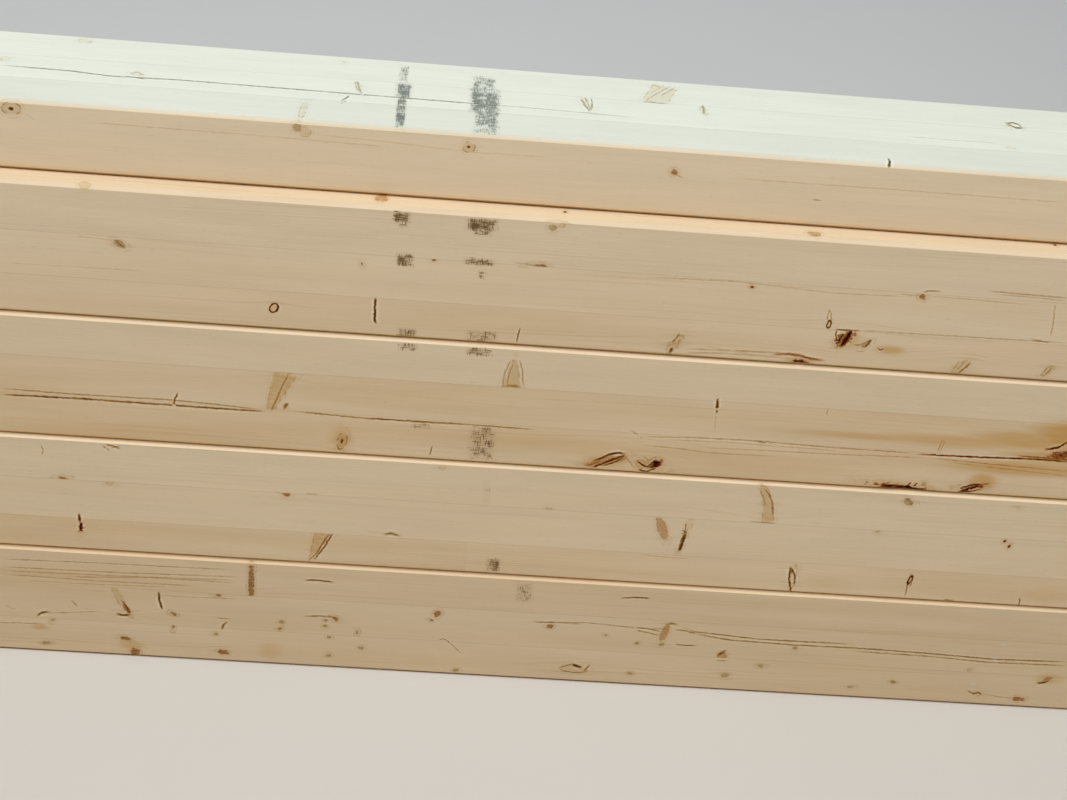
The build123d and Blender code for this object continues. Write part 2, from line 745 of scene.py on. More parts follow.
    def mark_knots(self, knots: list[Placed]) -> None:
        """Give the corners near each knot their place in its own radii, and its kind.

        Args:
            knots: The beam's knots.
        """
        nearest, chosen = np.full(len(self.sizes), FAR), np.full(len(self.sizes), -1)
        for number, (mark, x, around) in enumerate(knots):
            reach = self.KNOT_REACH * mark.long
            near = np.flatnonzero((np.abs(self.face_x - x) < reach) & (self.face_around < FAR)
                                  & (np.abs(self.face_around - around) < reach))
            board = np.digitize(self.section.points(np.array([around]))[0, 1], self.glue)
            near = near[self.face_board[near] == board]
            away = np.hypot(*mark.radii(self.face_x[near] - x, self.face_around[near] - around))
            closer = away < nearest[near]
            nearest[near[closer]] = away[closer]
            chosen[near[closer]] = number
        place, kind = np.full((len(self.x), 3), FAR), np.zeros((len(self.x), 3))
        dye, radius = np.ones((len(self.x), 3)), np.ones(len(self.x))
        for number, (mark, x, around) in enumerate(knots):
            own = np.flatnonzero(chosen[self.corner_face] == number)
            u, v = mark.radii(self.x[own] - x, self.corner_around[own] - around)
            colour, rim, heart, inbark, square = mark.kind.value
            place[own] = np.c_[u, v, np.full(len(own), square)]
            kind[own] = (rim, heart, inbark)
            dye[own] = linear(colour)[:3]
            radius[own] = mark.short / 2
            away = np.hypot(u, v)
            self.sink[own] += self.RIM_SINK * rim * np.exp(-((away - 1) / self.RIM_WIDTH) ** 2)
            self.sink[own] += self.BARK_SINK * inbark * np.clip(1 - away, 0, 1)
        self.corner_data["knot"] = place
        self.corner_data["kind"] = kind
        self.corner_data["knot_dye"] = dye
        self.corner_data["knot_radius"] = radius

    def mark_shakes(self, shakes: list[Line]) -> None:
        """Lay every other shake in one layer and the rest in another, so that two can share a face.

        Args:
            shakes: Each shake with its line of places along and around.
        """
        self.corner_data["shake"] = self._shake_layer(shakes[::2])
        self.corner_data["other_shake"] = self._shake_layer(shakes[1::2])

    def _shake_layer(self, shakes: list[Line]) -> np.ndarray:
        """Give the corners near each shake their signed distance from it, its fading depth and width.

        Args:
            shakes: Each shake with its line of places along and around.

        Returns:
            The three for each corner.
        """
        nearest, data = np.full(len(self.sizes), FAR), np.zeros((len(self.x), 3))
        data[:, 0] = FAR
        faces, corners = (np.c_[self.face_x, self.face_around], np.c_[self.x, self.corner_around])
        for mark, line in shakes:
            major = int(np.ptp(line[:, 1]) > np.ptp(line[:, 0]))
            line = line[np.argsort(line[:, major])]
            low, high = line[0, major], line[-1, major]
            inside = np.flatnonzero((faces[:, major] > low - 2) & (faces[:, major] < high + 2))
            middle = np.interp(faces[inside, major], line[:, major], line[:, 1 - major])
            away = np.abs(faces[inside, 1 - major] - middle)
            closer = (away < nearest[inside]) & (away < self.SHAKE_REACH)
            near = inside[closer]
            nearest[near] = away[closer]
            claimed = np.zeros(len(self.sizes), dtype=bool)
            claimed[near] = True
            own = np.flatnonzero(claimed[self.corner_face])
            run = corners[own, major]
            gap = corners[own, 1 - major] - np.interp(run, line[:, major], line[:, 1 - major])
            ease, over = min(self.SHAKE_EASE * (high - low), self.SHAKE_FADE), -self.SHAKE_OVER
            fade = smooth_step(over, ease, run - low) * smooth_step(over, ease, high - run)
            steep = np.hypot(1, np.gradient(line[:, 1 - major], line[:, major]).mean())
            data[own] = np.c_[gap / steep, fade * mark.dark ** 1.5, np.full(len(own), mark.width)]
        return data

    def mark_patches(self, patches: list[Placed], bleach: float, turn: np.ndarray) -> None:
        """Give each corner its share of resin stain and painted shade, of smudge, and of pale bloom and
        painted highlight.

        Args:
            patches: The beam's patches.
            bleach: How strongly the wide face is painted pale as a highlight, for the light that falls on
                it.
            turn: The turn from the stock's axes to the stack's.
        """
        data = np.zeros((len(self.x), 3))
        wide = np.abs(self.face_around) < self.section.wide_half
        to_narrow = self.section.narrow_start - np.abs(self.corner_around)
        over_edge = smooth_step(0.2, 0.8, to_narrow / self.section.bevel)
        # Painted highlight: the wide face is tinted pale for the light that falls on it, fading over its
        # arrises.
        data[:, Soil.PALE.value] = bleach * np.where(wide[self.corner_face], 1.0, over_edge)
        # Painted shade: faces that look downwards get the warm resin tint, in place of the shade and bounced
        # light between the beams.
        ahead, behind = (self.section.points(self.corner_around + step) for step in (TOUCH, -TOUCH))
        slope = ahead - behind
        out = np.c_[np.zeros(len(slope)), -slope[:, 1], slope[:, 0]] @ turn.T / (2 * TOUCH)
        data[:, Soil.RESIN.value] = self.HIDDEN_WARMTH * smooth_step(*self.FACES_DOWN, -out[:, 2])
        for mark, x, around in patches:
            along = np.abs(self.x - x) / (mark.long / 2)
            across = np.abs(self.corner_around - around) / (mark.tall / 2)
            smudge = mark.soil is Soil.SMUDGE
            reach = np.maximum(along, across) if smudge else np.hypot(along, across)
            channel = data[:, mark.soil.value]
            core = self.SMUDGE_CORE if smudge else self.STAIN_CORE
            np.maximum(channel, mark.amount * (1 - smooth_step(core, self.PATCH_END, reach)), out=channel)
        self.corner_data["stain"] = data

    def _unrolled(self, beam: int) -> np.ndarray:
        """Give each corner's place on the unrolled skin, or on the sawn end, for fine patterns to follow.

        Args:
            beam: The beam's number, which keeps its patterns unlike any other beam's.

        Returns:
            The place along and around in metres, and the millimetres from the nearest glue line.
        """
        skin = self.corner_around < FAR
        along = np.where(skin, self.x, self.y) + beam * self.BEAM_SHIFT
        around = np.where(skin, self.corner_around, self.z)
        around += self.face_board[self.corner_face] * self.BOARD_SHIFT
        narrow = skin & (np.abs(self.z) > self.section.wide_half + TOUCH)
        glue = np.where(narrow, FAR, self._from_glue())
        return np.c_[along * MM, around * MM, glue]

    def mesh(self, name: str, beam: int, turn: np.ndarray, centre: np.ndarray,
             materials: tuple[bpy.types.Material, ...]) -> bpy.types.Mesh:
        """Make the mesh in the stack's frame.

        Args:
            name: Its name.
            beam: The beam's number.
            turn: The turn from the stock's axes to the stack's.
            centre: The beam's middle in the stack.
            materials: What the planed faces and the sawn ends are made of.

        Returns:
            The mesh, in metres.
        """
        mesh = bpy.data.meshes.new(name)
        shaped = (self.places + self._relief()) @ turn.T + centre
        mesh.vertices.add(len(shaped))
        mesh.vertices.foreach_set("co", (shaped * MM).astype(np.float32).ravel())
        mesh.loops.add(len(self.corner_vertex))
        mesh.loops.foreach_set("vertex_index", self.corner_vertex.astype(np.int32))
        mesh.polygons.add(len(self.sizes))
        mesh.polygons.foreach_set("loop_start", np.r_[0, np.cumsum(self.sizes)[:-1]].astype(np.int32))
        for material in materials:
            mesh.materials.append(material)
        mesh.polygons.foreach_set("material_index", (self.sizes == 3).astype(np.int32))
        mesh.update(calc_edges=True)
        for key, values in (self.corner_data | self.face_data | {"place": self._unrolled(beam)}).items():
            kind, slot = ("FLOAT_VECTOR", "vector") if values.ndim > 1 else ("FLOAT", "value")
            layer = mesh.attributes.new(key, kind, "FACE" if key in self.face_data else "CORNER")
            layer.data.foreach_set(slot, values.astype(np.float32).ravel())
        mesh.shade_smooth()
        mesh.set_sharp_from_angle(angle=float(np.radians(self.SHARP_DEG)))
        return mesh

    def _relief(self) -> np.ndarray:
        """Give how far each vertex is sunk into the wood, square to the outline and not at the ends.

        Returns:
            The move of each vertex.
        """
        count = len(self.places)
        shares = np.bincount(self.corner_vertex, minlength=count)
        sink = np.bincount(self.corner_vertex, self.sink, count) / shares
        ahead, behind = (self.section.points(self.around + step) for step in (TOUCH, -TOUCH))
        slope = ahead - behind
        slope /= np.maximum(np.linalg.norm(slope, axis=1, keepdims=True), 1e-9)
        flat_x = np.abs(self.places[:, 0])
        sink[(flat_x > flat_x.max() - TOUCH) | (np.abs(self.around) > self.section.half_round - TOUCH)] = 0
        return np.c_[np.zeros(count), slope[:, 1] * sink, -slope[:, 0] * sink]


@dataclass
class GlulamBeam:
    """One beam of three glued boards, planed to its section and sawn to length.

    Attributes:
        number: The beam's number, which starts its random draws.
        node: The CAD node that it stands for.
        lie: How it lies in the stack.
        glue: The heights of its two glue lines from the middle of its depth.
        boards: How its lower, middle and upper boards look.
        marks: The knots, shakes and patches that the reference view shows on it.
        joints: Its finger joints, each as a board's number and its pixel across the image.
        bleach: How pale its wide face is painted, a highlight for the light that falls on it.
        edges: How much lighter the arrises of its wide face and its narrow faces are painted, as shares, a
            highlight for the light that they catch.
        stations: How often its section is repeated along it.
        middle_step: The step between stations at the middle, as a share of an even step.
        rows: Rows for each board on the wide face, on the upper and lower narrow faces, and for
            each board on the back.
        plain_middle: Half the length that gets no drawn marks on the sides that the view shows.
        knots_per_metre: How many knots are drawn.
        centre, length, section: Its middle in the stack and its sizes, from its CAD node.
        random: Its own random draws.
    """

    number: int
    node: str
    lie: Lie = Lie.FACING_FRONT
    glue: Pair = (-20.0, 20.0)
    boards: tuple[Board, Board, Board] = (Board(), Board(), Board())
    marks: tuple[Knot | Shake | Patch, ...] = ()
    joints: tuple[tuple[int, float], ...] = ()
    bleach: float = 0.0
    edges: Pair = (0.08, 0.0)
    stations: int = 700
    middle_step: float = 0.55
    rows: tuple[int, int, int, int] = (22, 6, 3, 2)
    plain_middle: float = 0.0
    knots_per_metre: float = 34.0
    centre: np.ndarray = field(init=False)
    length: float = field(init=False)
    section: Section = field(init=False)
    random: np.random.Generator = field(init=False)

    KNOT_ODDS = {"SOUND": 0.22, "FAINT": 0.16, "PIN": 0.11, "RINGED": 0.08, "WARM": 0.08, "SPIKE": 0.12,
                 "STREAK": 0.09, "RED": 0.07, "BARK": 0.04, "LOOSE": 0.03}
    KNOT_LONG = (2.1, 0.4)  # a drawn knot's length, as the logarithm's mean and spread
    KNOT_LIMITS = (3.5, 20.0)
    KNOT_FLAT = (0.45, 0.85)  # its width by its length
    KNOT_LEAN = 14.0
    SPIKE_STRETCH, SPIKE_TAPER = 2.4, 0.5
    SHAKES_PER_METRE = 12.0
    SHAKE_WIDTH = 0.5
    SHAKE_LOW, SHAKE_HIGH = (20, -1.5, 0.25), (150, 1.5, 0.75)  # a drawn shake's length, climb and darkness
    FINGER_LENGTH = 15.0
    CUT_SPREAD = (0.6, 1.3)  # how far out a drawn finger joint is, in thirds of the length
    PIECE_SPREAD = Board(tone=0.02, warmth=0.08, contrast=0.15, ring=0.5, pith_out=15, pith_up=12, drift=5)
    CONTRASTS, RINGS = (0.15, 1.0), (1.6, 4.0)

    def __post_init__(self) -> None:
        """Take the beam's place and size from its CAD node."""
        low, high = (np.array(corner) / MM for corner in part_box(self.node))
        size = np.abs(self.lie.turn().T @ (high - low))
        self.centre = (low + high) / 2
        self.length = float(size[0])
        self.section = Section(width=float(size[1]), depth=float(size[2]))
        self.random = np.random.default_rng(self.number)

    def build(self, planer: Planer, view: ReferenceView,
              materials: tuple[bpy.types.Material, ...]) -> bpy.types.Object:
        """Make the beam and put it in the place of its CAD node.

        Args:
            planer: What sweeps its section.
            view: The reference view that its marks are placed by.
            materials: What the planed faces and the sawn ends are made of.

        Returns:
            The beam's object.
        """
        rows = self.section.rows(self.glue, *self.rows)
        skin = planer.run(self.section, rows, self.length, self.stations, self.middle_step, materials[0])
        shape = BeamShape(skin, self.section, len(rows), self.glue, self.random)
        bpy.data.meshes.remove(skin)
        knots, shakes, patches = self._placed_marks(view)
        shape.grain(self._board_pieces(view), knots, self.FINGER_LENGTH, self.edges)
        shape.mark_knots(knots)
        shape.mark_shakes(shakes)
        shape.mark_patches(patches, self.bleach, self.lie.turn())
        name = f"{self.node}_timber"
        mesh = shape.mesh(name, self.number, self.lie.turn(), self.centre, materials)
        timber = bpy.data.objects.new(name, mesh)
        bpy.context.scene.collection.objects.link(timber)
        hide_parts(self.node)
        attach(timber, "root")
        log.info("%s: %d triangles, %d knots, %d shakes, %d patches", name, int((shape.sizes - 2).sum()),
                 len(knots), len(shakes), len(patches))
        return timber

    def _spot(self, view: ReferenceView, photo: Pair, side: Side) -> Pair:
        """Find where a pixel of the reference image falls on one side of the beam.

        Args:
            view: The reference view.
            photo: The pixel.
            side: The planed side that it shows on.

        Returns:
            The place along the beam and the place around its section.
        """
        turn = self.lie.turn()
        reach = {Side.WIDE: np.array([0, -self.section.width / 2, 0]),
                 Side.UPPER: np.array([0, 0, self.section.depth / 2]),
                 Side.LOWER: np.array([0, 0, -self.section.depth / 2])}[side]
        surface = turn @ reach
        axis = int(np.argmax(np.abs(surface)))
        seen = view.hit(photo, axis, float((self.centre + surface)[axis]))
        point = turn.T @ (seen - self.centre)
        return float(point[0]), self.section.around(side, point)

    def _placed_marks(self, view: ReferenceView) -> tuple[list[Placed], list[Line], list[Placed]]:
        """Place the marks that the view shows, and draw others for where it doesn't look.

        Args:
            view: The reference view.

        Returns:
            The knots, the shakes and the patches.
        """
        knots, shakes, patches = [], [], []
        for mark in self.marks:
            if isinstance(mark, Shake):
                line = np.array([self._spot(view, pixel, mark.side) for pixel in mark.photo])
                shakes.append((mark, line))
            else:
                placed = (mark, *self._spot(view, mark.photo, mark.side))
                (knots if isinstance(mark, Knot) else patches).append(placed)
        for _ in range(round(self.knots_per_metre * self.length / 1000)):
            mark, x, around = self._drawn_knot()
            if not self._photographed(x, around):
                knots.append((mark, x, around))
        for _ in range(round(self.SHAKES_PER_METRE * self.length / 1000)):
            reach = (self.length / 2, self.section.half_round)
            x, around, run, climb, dark = self.random.uniform((*np.negative(reach), *self.SHAKE_LOW),
                                                              (*reach, *self.SHAKE_HIGH))
            line = np.array([[x - run / 2, around], [x, around + climb], [x + run / 2, around + climb / 2]])
            if not any(self._photographed(*point) for point in line):
                shakes.append((Shake(photo=(), width=self.SHAKE_WIDTH, dark=dark), line))
        return knots, shakes, patches

    def _drawn_knot(self) -> Placed:
        """Draw a knot of a likely kind and size at a random place.

        Returns:
            The knot and its place.
        """
        kind = KnotKind[self.random.choice(list(self.KNOT_ODDS), p=list(self.KNOT_ODDS.values()))]
        spike = kind in (KnotKind.SPIKE, KnotKind.STREAK)
        long = float(np.clip(self.random.lognormal(*self.KNOT_LONG), *self.KNOT_LIMITS))
        stretch = self.SPIKE_STRETCH if spike else 1.0
        mark = Knot(photo=(0, 0), long=long * stretch, short=long * self.random.uniform(*self.KNOT_FLAT),
                    lean=90.0 * spike + self.random.normal(0, self.KNOT_LEAN), kind=kind,
                    taper=self.SPIKE_TAPER * spike)
        reach = self.section.half_round
        return mark, self.random.uniform(-0.5, 0.5) * self.length, self.random.uniform(-reach, reach)

    def _photographed(self, x: float, around: float) -> bool:
        """Tell whether the reference view shows this place, so that only its own marks belong there."""
        return abs(x) < self.plain_middle and abs(around) < self.section.back_start

    def _board_pieces(self, view: ReferenceView) -> Pieces:
        """Split each board at its finger joints.

        Args:
            view: The reference view.

        Returns:
            For each board from the lowest, where its pieces start and how they look.
        """
        boards = []
        for number, look in enumerate(self.boards):
            cuts = [self._spot(view, (pixel, view.image_height / 2), Side.WIDE)[0]
                    for board, pixel in self.joints if board == number]
            cuts += [side * self.random.uniform(*self.CUT_SPREAD) * self.length / 3 for side in (-1, 1)]
            pieces = [(-self.length, self._like(look))]
            for piece, cut in enumerate(sorted(cuts)):
                pieces.append((cut, look if piece == 0 else self._like(look)))
            boards.append(pieces)
        return boards

    def _like(self, look: Board) -> Board:
        """Draw the look of another piece of the same lamination.

        Args:
            look: How the first piece looks.

        Returns:
            How the other looks.
        """
        spread = self.PIECE_SPREAD
        draw = self.random.normal
        return Board(tone=look.tone + draw(0, spread.tone), warmth=look.warmth + draw(0, spread.warmth),
                     contrast=float(np.clip(look.contrast + draw(0, spread.contrast), *self.CONTRASTS)),
                     ring=float(np.clip(look.ring + draw(0, spread.ring), *self.RINGS)),
                     pith_out=look.pith_out + draw(0, spread.pith_out),
                     pith_up=-look.pith_up + draw(0, spread.pith_up), drift=draw(0, spread.drift))


@dataclass(frozen=True)
class PlanedSpruce:
    """Norway spruce, planed by machine and left bare: pale, silky and faintly lined.

    Attributes:
        early, late: The wood that a ring starts with and ends with.
        heart, bark, crack: The dyes of a knot's heart, of the bark grown into one, and of a shake or a rim.
        weathered: The dye of a shake where the wood is painted pale as a highlight, greyed there.
        lining: How strongly the late wood shows.
        resin: Wood that resin has stained, also the painted warm shade of faces that look downwards.
        soot, dust: The dyes of a smudge, and of one where the wood is painted pale as a highlight.
        pale: Wood that has been scuffed, and the painted highlight of a wide face that the light falls on.
        fibre, hair: The width and length of a streak of fibres, and of a single one.
        fleck: The width and length of a resin canal, drawn wide enough to show.
        cloud, patch, flush: The same of a cloudy patch, of one where late wood shows, and of a warmer one.
        soak: The same of a streak of resin.
        rag, gap, tear: The same of a knot's ragged edge, of a gap in its rim, and of a tear in its heart.
        waver, fading: The same of a crack's waver, and of a stretch where it fades.
        stroke, blotch: The same of a smudge's strokes, and of its thicker blotches.
        roughness: How dull the planed surface is.
    """

    early: str = "#e5d0b0"
    late: str = "#b88b55"
    heart: str = "#7a4a20"
    bark: str = "#551f05"
    crack: str = "#623f12"
    weathered: str = "#6c6c5a"
    lining: float = 0.72
    resin: str = "#c99a52"
    soot: str = "#8e7f6a"
    dust: str = "#9ca3a6"
    pale: str = "#dbe3d7"
    fibre: Pair = (1.1, 85.0)
    hair: Pair = (0.45, 14.0)
    fleck: Pair = (0.5, 7.0)
    cloud: Pair = (16.0, 130.0)
    patch: Pair = (13.0, 240.0)
    flush: Pair = (28.0, 320.0)
    soak: Pair = (4.0, 60.0)
    rag: Pair = (3.0, 4.0)
    gap: Pair = (5.0, 7.0)
    tear: Pair = (1.6, 2.2)
    waver: Pair = (2.2, 4.0)
    fading: Pair = (3.0, 12.0)
    stroke: Pair = (0.9, 7.0)
    blotch: Pair = (9.0, 7.0)
    roughness: float = 0.62

    def build(self) -> bpy.types.Material:
        """Build the material from the attributes that every beam carries.

        Returns:
            The material.
        """
        material, add = new_material("planed_spruce")
        place = add("Attribute", out="Vector", attribute_name="place")
        pattern = partial(self._pattern, add, place)
        stain = add("SeparateXYZ", {0: add("Attribute", out="Vector", attribute_name="stain")}).node.outputs
        knot = add("Attribute", out="Vector", attribute_name="knot")
        radius = add("Attribute", out="Fac", attribute_name="knot_radius")
        kind = add("SeparateXYZ", {0: add("Attribute", out="Vector", attribute_name="kind")}).node.outputs
        away, outside = self._from_knot(add, pattern, knot, radius, kind["Z"])
        late = self._late_wood(add, pattern, away)
        wood = self._wood(add, pattern, place, late, stain)
        colour = self._knots(add, pattern, place, wood, knot, kind, radius, outside, stain["Z"])
        # The shakes' dye greys where the wood carries the painted highlight.
        fresh = add("Mix", {0: kind["Z"], 6: linear(self.crack), 7: linear(self.bark)}, **COLOURS)
        dye = add("Mix", {0: stain["Z"], 6: fresh, 7: linear(self.weathered)}, **COLOURS)
        cracks = []
        for layer in ("shake", "other_shake"):
            crack = self._shake(add, pattern, layer)
            colour = self._stained(add, colour, dye, crack)
            cracks.append(crack)
        colour = self._soil(add, pattern, colour, stain)
        split = add("Math", {0: cracks[0], 1: cracks[1]}, operation="MAXIMUM")
        height = add("Math", {0: split, 1: -3.0, 2: late}, operation="MULTIPLY_ADD")
        bump = add("Bump", {"Strength": 0.5, "Distance": 0.04 * MM, "Height": height})
        shader = add("BsdfPrincipled", {"Base Color": colour, "Roughness": self.roughness, "Normal": bump,
                                        "IOR": 1.45, "Specular IOR Level": 0.08})
        add("OutputMaterial", {"Surface": shader})
        return material

    def _pattern(self, add: partial, place: Socket, size: Pair, detail: float) -> Socket:
        """Give an uneven pattern whose marks are of a real width and length, about 0.5 in the middle.

        Args:
            add: What adds a node to the material's tree.
            place: The place on the unrolled skin.
            size: The marks' width and length.
            detail: How much finer marks it also has.

        Returns:
            The pattern.
        """
        width, length = size
        scaled = add("VectorMath", {0: place, 1: (1 / (length * MM), 1 / (width * MM), 0.0)}, **TIMES)
        return add("TexNoise", {"Vector": scaled, "Scale": 1.0, "Detail": detail})

    def _from_knot(self, add: partial, pattern: partial, knot: Socket, radius: Socket,
                   inbark: Socket) -> tuple[Socket, Socket]:
        """Give how far the nearest knot's middle is in its own radii, and its ragged rim in millimetres.

        Args:
            add: What adds a node to the material's tree.
            pattern: What gives an uneven pattern, by its marks' size and its detail.
            knot: The place in the knot's radii, and how square it is.
            radius: The knot's short radius.
            inbark: How much inbark it has.

        Returns:
            The way from its middle and the way outwards from its rim.
        """
        own = add("SeparateXYZ", {0: knot}).node.outputs
        u = add("Math", {0: own["X"]}, operation="ABSOLUTE")
        v = add("Math", {0: own["Y"]}, operation="ABSOLUTE")
        flat = add("CombineXYZ", {"X": u, "Y": v})
        round_way = add("VectorMath", {0: flat}, out="Value", operation="LENGTH")
        square_way = add("Math", {0: u, 1: v}, operation="MAXIMUM")
        away = add("Mix", {0: own["Z"], 2: round_way, 3: square_way})
        beyond = add("Math", {0: away, 1: 1.0}, operation="SUBTRACT")
        rag = add("MapRange", {"Value": pattern(self.rag, 2.0)} | span(0.2, 0.8, -1.0, 1.0))
        reach = add("Math", {0: inbark, 1: 2.2, 2: 0.5}, operation="MULTIPLY_ADD")
        rag = add("Math", {0: rag, 1: reach}, **TIMES)
        return away, add("Math", {0: beyond, 1: radius, 2: rag}, operation="MULTIPLY_ADD")

    def _late_wood(self, add: partial, pattern: partial, away: Socket) -> Socket:
        """Give how much late wood shows: it thickens slowly in each ring and ends sharply.

        It shows in some patches only, and most beside a knot.

        Args:
            add: What adds a node to the material's tree.
            pattern: What gives an uneven pattern, by its marks' size and its detail.
            away: The way from the nearest knot's middle, in its own radii.

        Returns:
            How much shows.
        """
        ring = add("Attribute", out="Fac", attribute_name="ring")
        share = add("Math", {0: ring}, operation="FRACT")
        year = add("Math", {0: ring}, operation="FLOOR")
        rise = add("MapRange", {"Value": share} | span(0.35, 0.9), **SMOOTH)
        fall = add("MapRange", {"Value": share} | span(0.9, 1.0, 1.0, 0.0), **SMOOTH)
        ridge = add("Math", {0: rise, 1: fall}, **TIMES)
        luck = add("TexWhiteNoise", {"W": year}, noise_dimensions="1D")
        good_year = add("MapRange", {"Value": luck} | span(0.2, 1.0, 0.05, 1.0))
        patchy = add("MapRange", {"Value": pattern(self.patch, 2.5)} | span(0.47, 0.7, 0.05))
        beside = add("MapRange", {"Value": away} | span(1.0, 4.0, 0.7, 0.0), **SMOOTH)
        shown = add("Math", {0: patchy, 1: beside})
        line = add("Math", {0: ridge, 1: good_year}, **TIMES)
        return add("Math", {0: line, 1: shown}, **TIMES)

    def _wood(self, add: partial, pattern: partial, place: Socket, late: Socket, stain: Outputs) -> Socket:
        """Colour the clear wood by its rings, board, resin and painted shade, fibres and resin canals, and
        by pale scuffs and the painted highlight.

        Args:
            add: What adds a node to the material's tree.
            pattern: What gives an uneven pattern, by its marks' size and its detail.
            place: The place on the unrolled skin.
            late: How much late wood shows.
            stain: The shares of resin and painted shade, of smudge, and of pale scuffs and painted
                highlight.

        Returns:
            The wood's colour.
        """
        board = add("Attribute", out="Vector", attribute_name="board")
        look = add("SeparateXYZ", {0: board}).node.outputs
        soak = add("MapRange", {"Value": pattern(self.soak, 3.0)} | span(0.3, 0.7, 0.75, 1.0))
        flush = add("MapRange", {"Value": pattern(self.flush, 2.0)} | span(0.3, 0.7, 0.4, 1.6))
        warmth = add("Math", {0: look["Y"], 1: flush}, **TIMES)
        # The resin channel carries real resin and the painted warm shade of faces that look downwards.
        resinous = add("Math", {0: stain["X"], 1: soak, 2: warmth}, operation="MULTIPLY_ADD", use_clamp=True)
        warm = add("Mix", {0: resinous, 6: linear(self.early), 7: linear(self.resin)}, **COLOURS)
        # The pale channel carries pale scuffs and the painted highlight of the top beam's wide face.
        clean = add("Mix", {0: stain["Z"], 6: warm, 7: linear(self.pale)}, **COLOURS)
        shown = add("Math", {0: late, 1: look["Z"]}, **TIMES)
        shown = add("Math", {0: shown, 1: self.lining}, **TIMES)
        rings = add("Mix", {0: shown, 6: clean, 7: linear(self.late)}, **COLOURS)
        light = add("Math", {0: look["X"], 1: 1.0})
        for size, reach, detail in ((self.fibre, 0.03, 3.0), (self.cloud, 0.035, 3.0),
                                    (self.hair, 0.02, 1.0)):
            change = add("MapRange", {"Value": pattern(size, detail)}
                         | span(0.25, 0.75, 1 - reach, 1 + reach))
            light = add("Math", {0: light, 1: change}, **TIMES)
        canal = add("MapRange", {"Value": pattern(self.fleck, 0.0)} | span(0.76, 0.82, 1.0, 0.86))
        light = add("Math", {0: light, 1: canal}, **TIMES)
        glue = add("SeparateXYZ", {0: place}, out="Z")
        seam = add("MapRange", {"Value": glue} | span(0.15, 0.6, 0.88, 1.0))
        light = add("Math", {0: light, 1: seam}, **TIMES)
        return add("VectorMath", {0: rings, "Scale": light}, operation="SCALE")

    def _stained(self, add: partial, wood: Socket, dye: Socket | tuple, amount: Socket) -> Socket:
        """Stain the wood as a clear dye does, which grows richer as it grows darker.

        Args:
            add: What adds a node to the material's tree.
            wood: The wood's colour.
            dye: The dye's colour.
            amount: How much of it.

        Returns:
            The stained colour.
        """
        depth = add("Gamma", {"Color": dye, "Gamma": amount})
        return add("VectorMath", {0: wood, 1: depth}, **TIMES)

    def _knots(self, add: partial, pattern: partial, place: Socket, wood: Socket, knot: Socket,
               kind: Outputs, radius: Socket, outside: Socket, bleach: Socket) -> Socket:
        """Lay the knots over the wood, each with its body, its broken rims, its inbark and its heart.

        Args:
            add: What adds a node to the material's tree.
            pattern: What gives an uneven pattern, by its marks' size and its detail.
            place: The place on the unrolled skin.
            wood: The wood's colour.
            knot: The place in the knot's radii, and how square it is.
            kind: How dark its rim, its heart and its inbark are.
            radius: The knot's short radius.
            outside: The way outwards from its rim.
            bleach: How pale the wood is painted, by the highlight of a wide face and by pale scuffs.

        Returns:
            The colour with the knots.
        """
        inside = add("MapRange", {"Value": outside} | span(-0.9, 0.5, 1.0, 0.0), **SMOOTH)
        along = add("VectorMath", {0: knot, 1: (0.7, 2.6, 0.0), 2: place}, operation="MULTIPLY_ADD")
        streaks = add("TexNoise", {"Vector": along, "Scale": 1.2, "Detail": 3.0})
        uneven = add("MapRange", {"Value": streaks} | span(0.3, 0.7, 0.4, 1.35))
        filled = add("Math", {0: inside, 1: uneven}, **TIMES)
        halo = add("MapRange", {"Value": outside} | span(0.0, 4.0, 0.12, 0.0), **SMOOTH)
        fresh = add("Math", {0: filled, 1: halo}, operation="MAXIMUM")
        # Knots fade where the wood carries the painted highlight.
        weathered = add("Math", {0: bleach, 1: -0.6, 2: 1.0}, operation="MULTIPLY_ADD")
        body = add("Math", {0: fresh, 1: weathered}, **TIMES)
        dye = add("Attribute", out="Vector", attribute_name="knot_dye")
        colour = self._stained(add, wood, dye, body)
        gappy = add("MapRange", {"Value": pattern(self.gap, 1.0)} | span(0.42, 0.6))
        whole = add("MapRange", {"Value": kind["X"]} | span(0.8, 1.0))
        broken = add("Math", {0: gappy, 1: whole}, operation="MAXIMUM")
        faint = add("MapRange", {"Value": kind["X"]} | span(0.5, 1.0, 0.15, 0.0))
        rims = 0.0
        for gap, thick, dark in ((0.0, 0.8, 0.95), (2.3, 0.8, faint), (-1.6, 0.7, faint)):
            off = add("Math", {0: outside, 1: gap}, operation="SUBTRACT")
            near = add("Math", {0: off}, operation="ABSOLUTE")
            edge = add("MapRange", {"Value": near} | span(0.1, thick, dark, 0.0), **SMOOTH)
            rims = add("Math", {0: edge, 1: broken, 2: rims}, operation="MULTIPLY_ADD")
        rim = add("Math", {0: rims, 1: kind["X"]}, **TIMES)
        colour = self._stained(add, colour, linear(self.crack), rim)
        jagged = add("VectorMath", {0: knot, 1: (1.0, 1.7, 0.0), 2: place}, operation="MULTIPLY_ADD")
        flames = add("TexNoise", {"Vector": jagged, "Scale": 1.3, "Detail": 3.5, "Roughness": 0.6})
        ridges = add("Math", {0: flames, 1: 0.5}, operation="SUBTRACT")
        crest = add("Math", {0: ridges}, operation="ABSOLUTE")
        line = add("MapRange", {"Value": crest} | span(0.0, 0.06, 1.1, 0.0), **SMOOTH)
        within = add("Math", {0: line, 1: inside}, **TIMES)
        jag = add("Math", {0: within, 1: kind["Z"]}, **TIMES)
        colour = self._stained(add, colour, linear(self.bark), jag)
        own = add("SeparateXYZ", {0: knot}).node.outputs
        round_place = add("CombineXYZ", {"X": own["X"], "Y": own["Y"]})
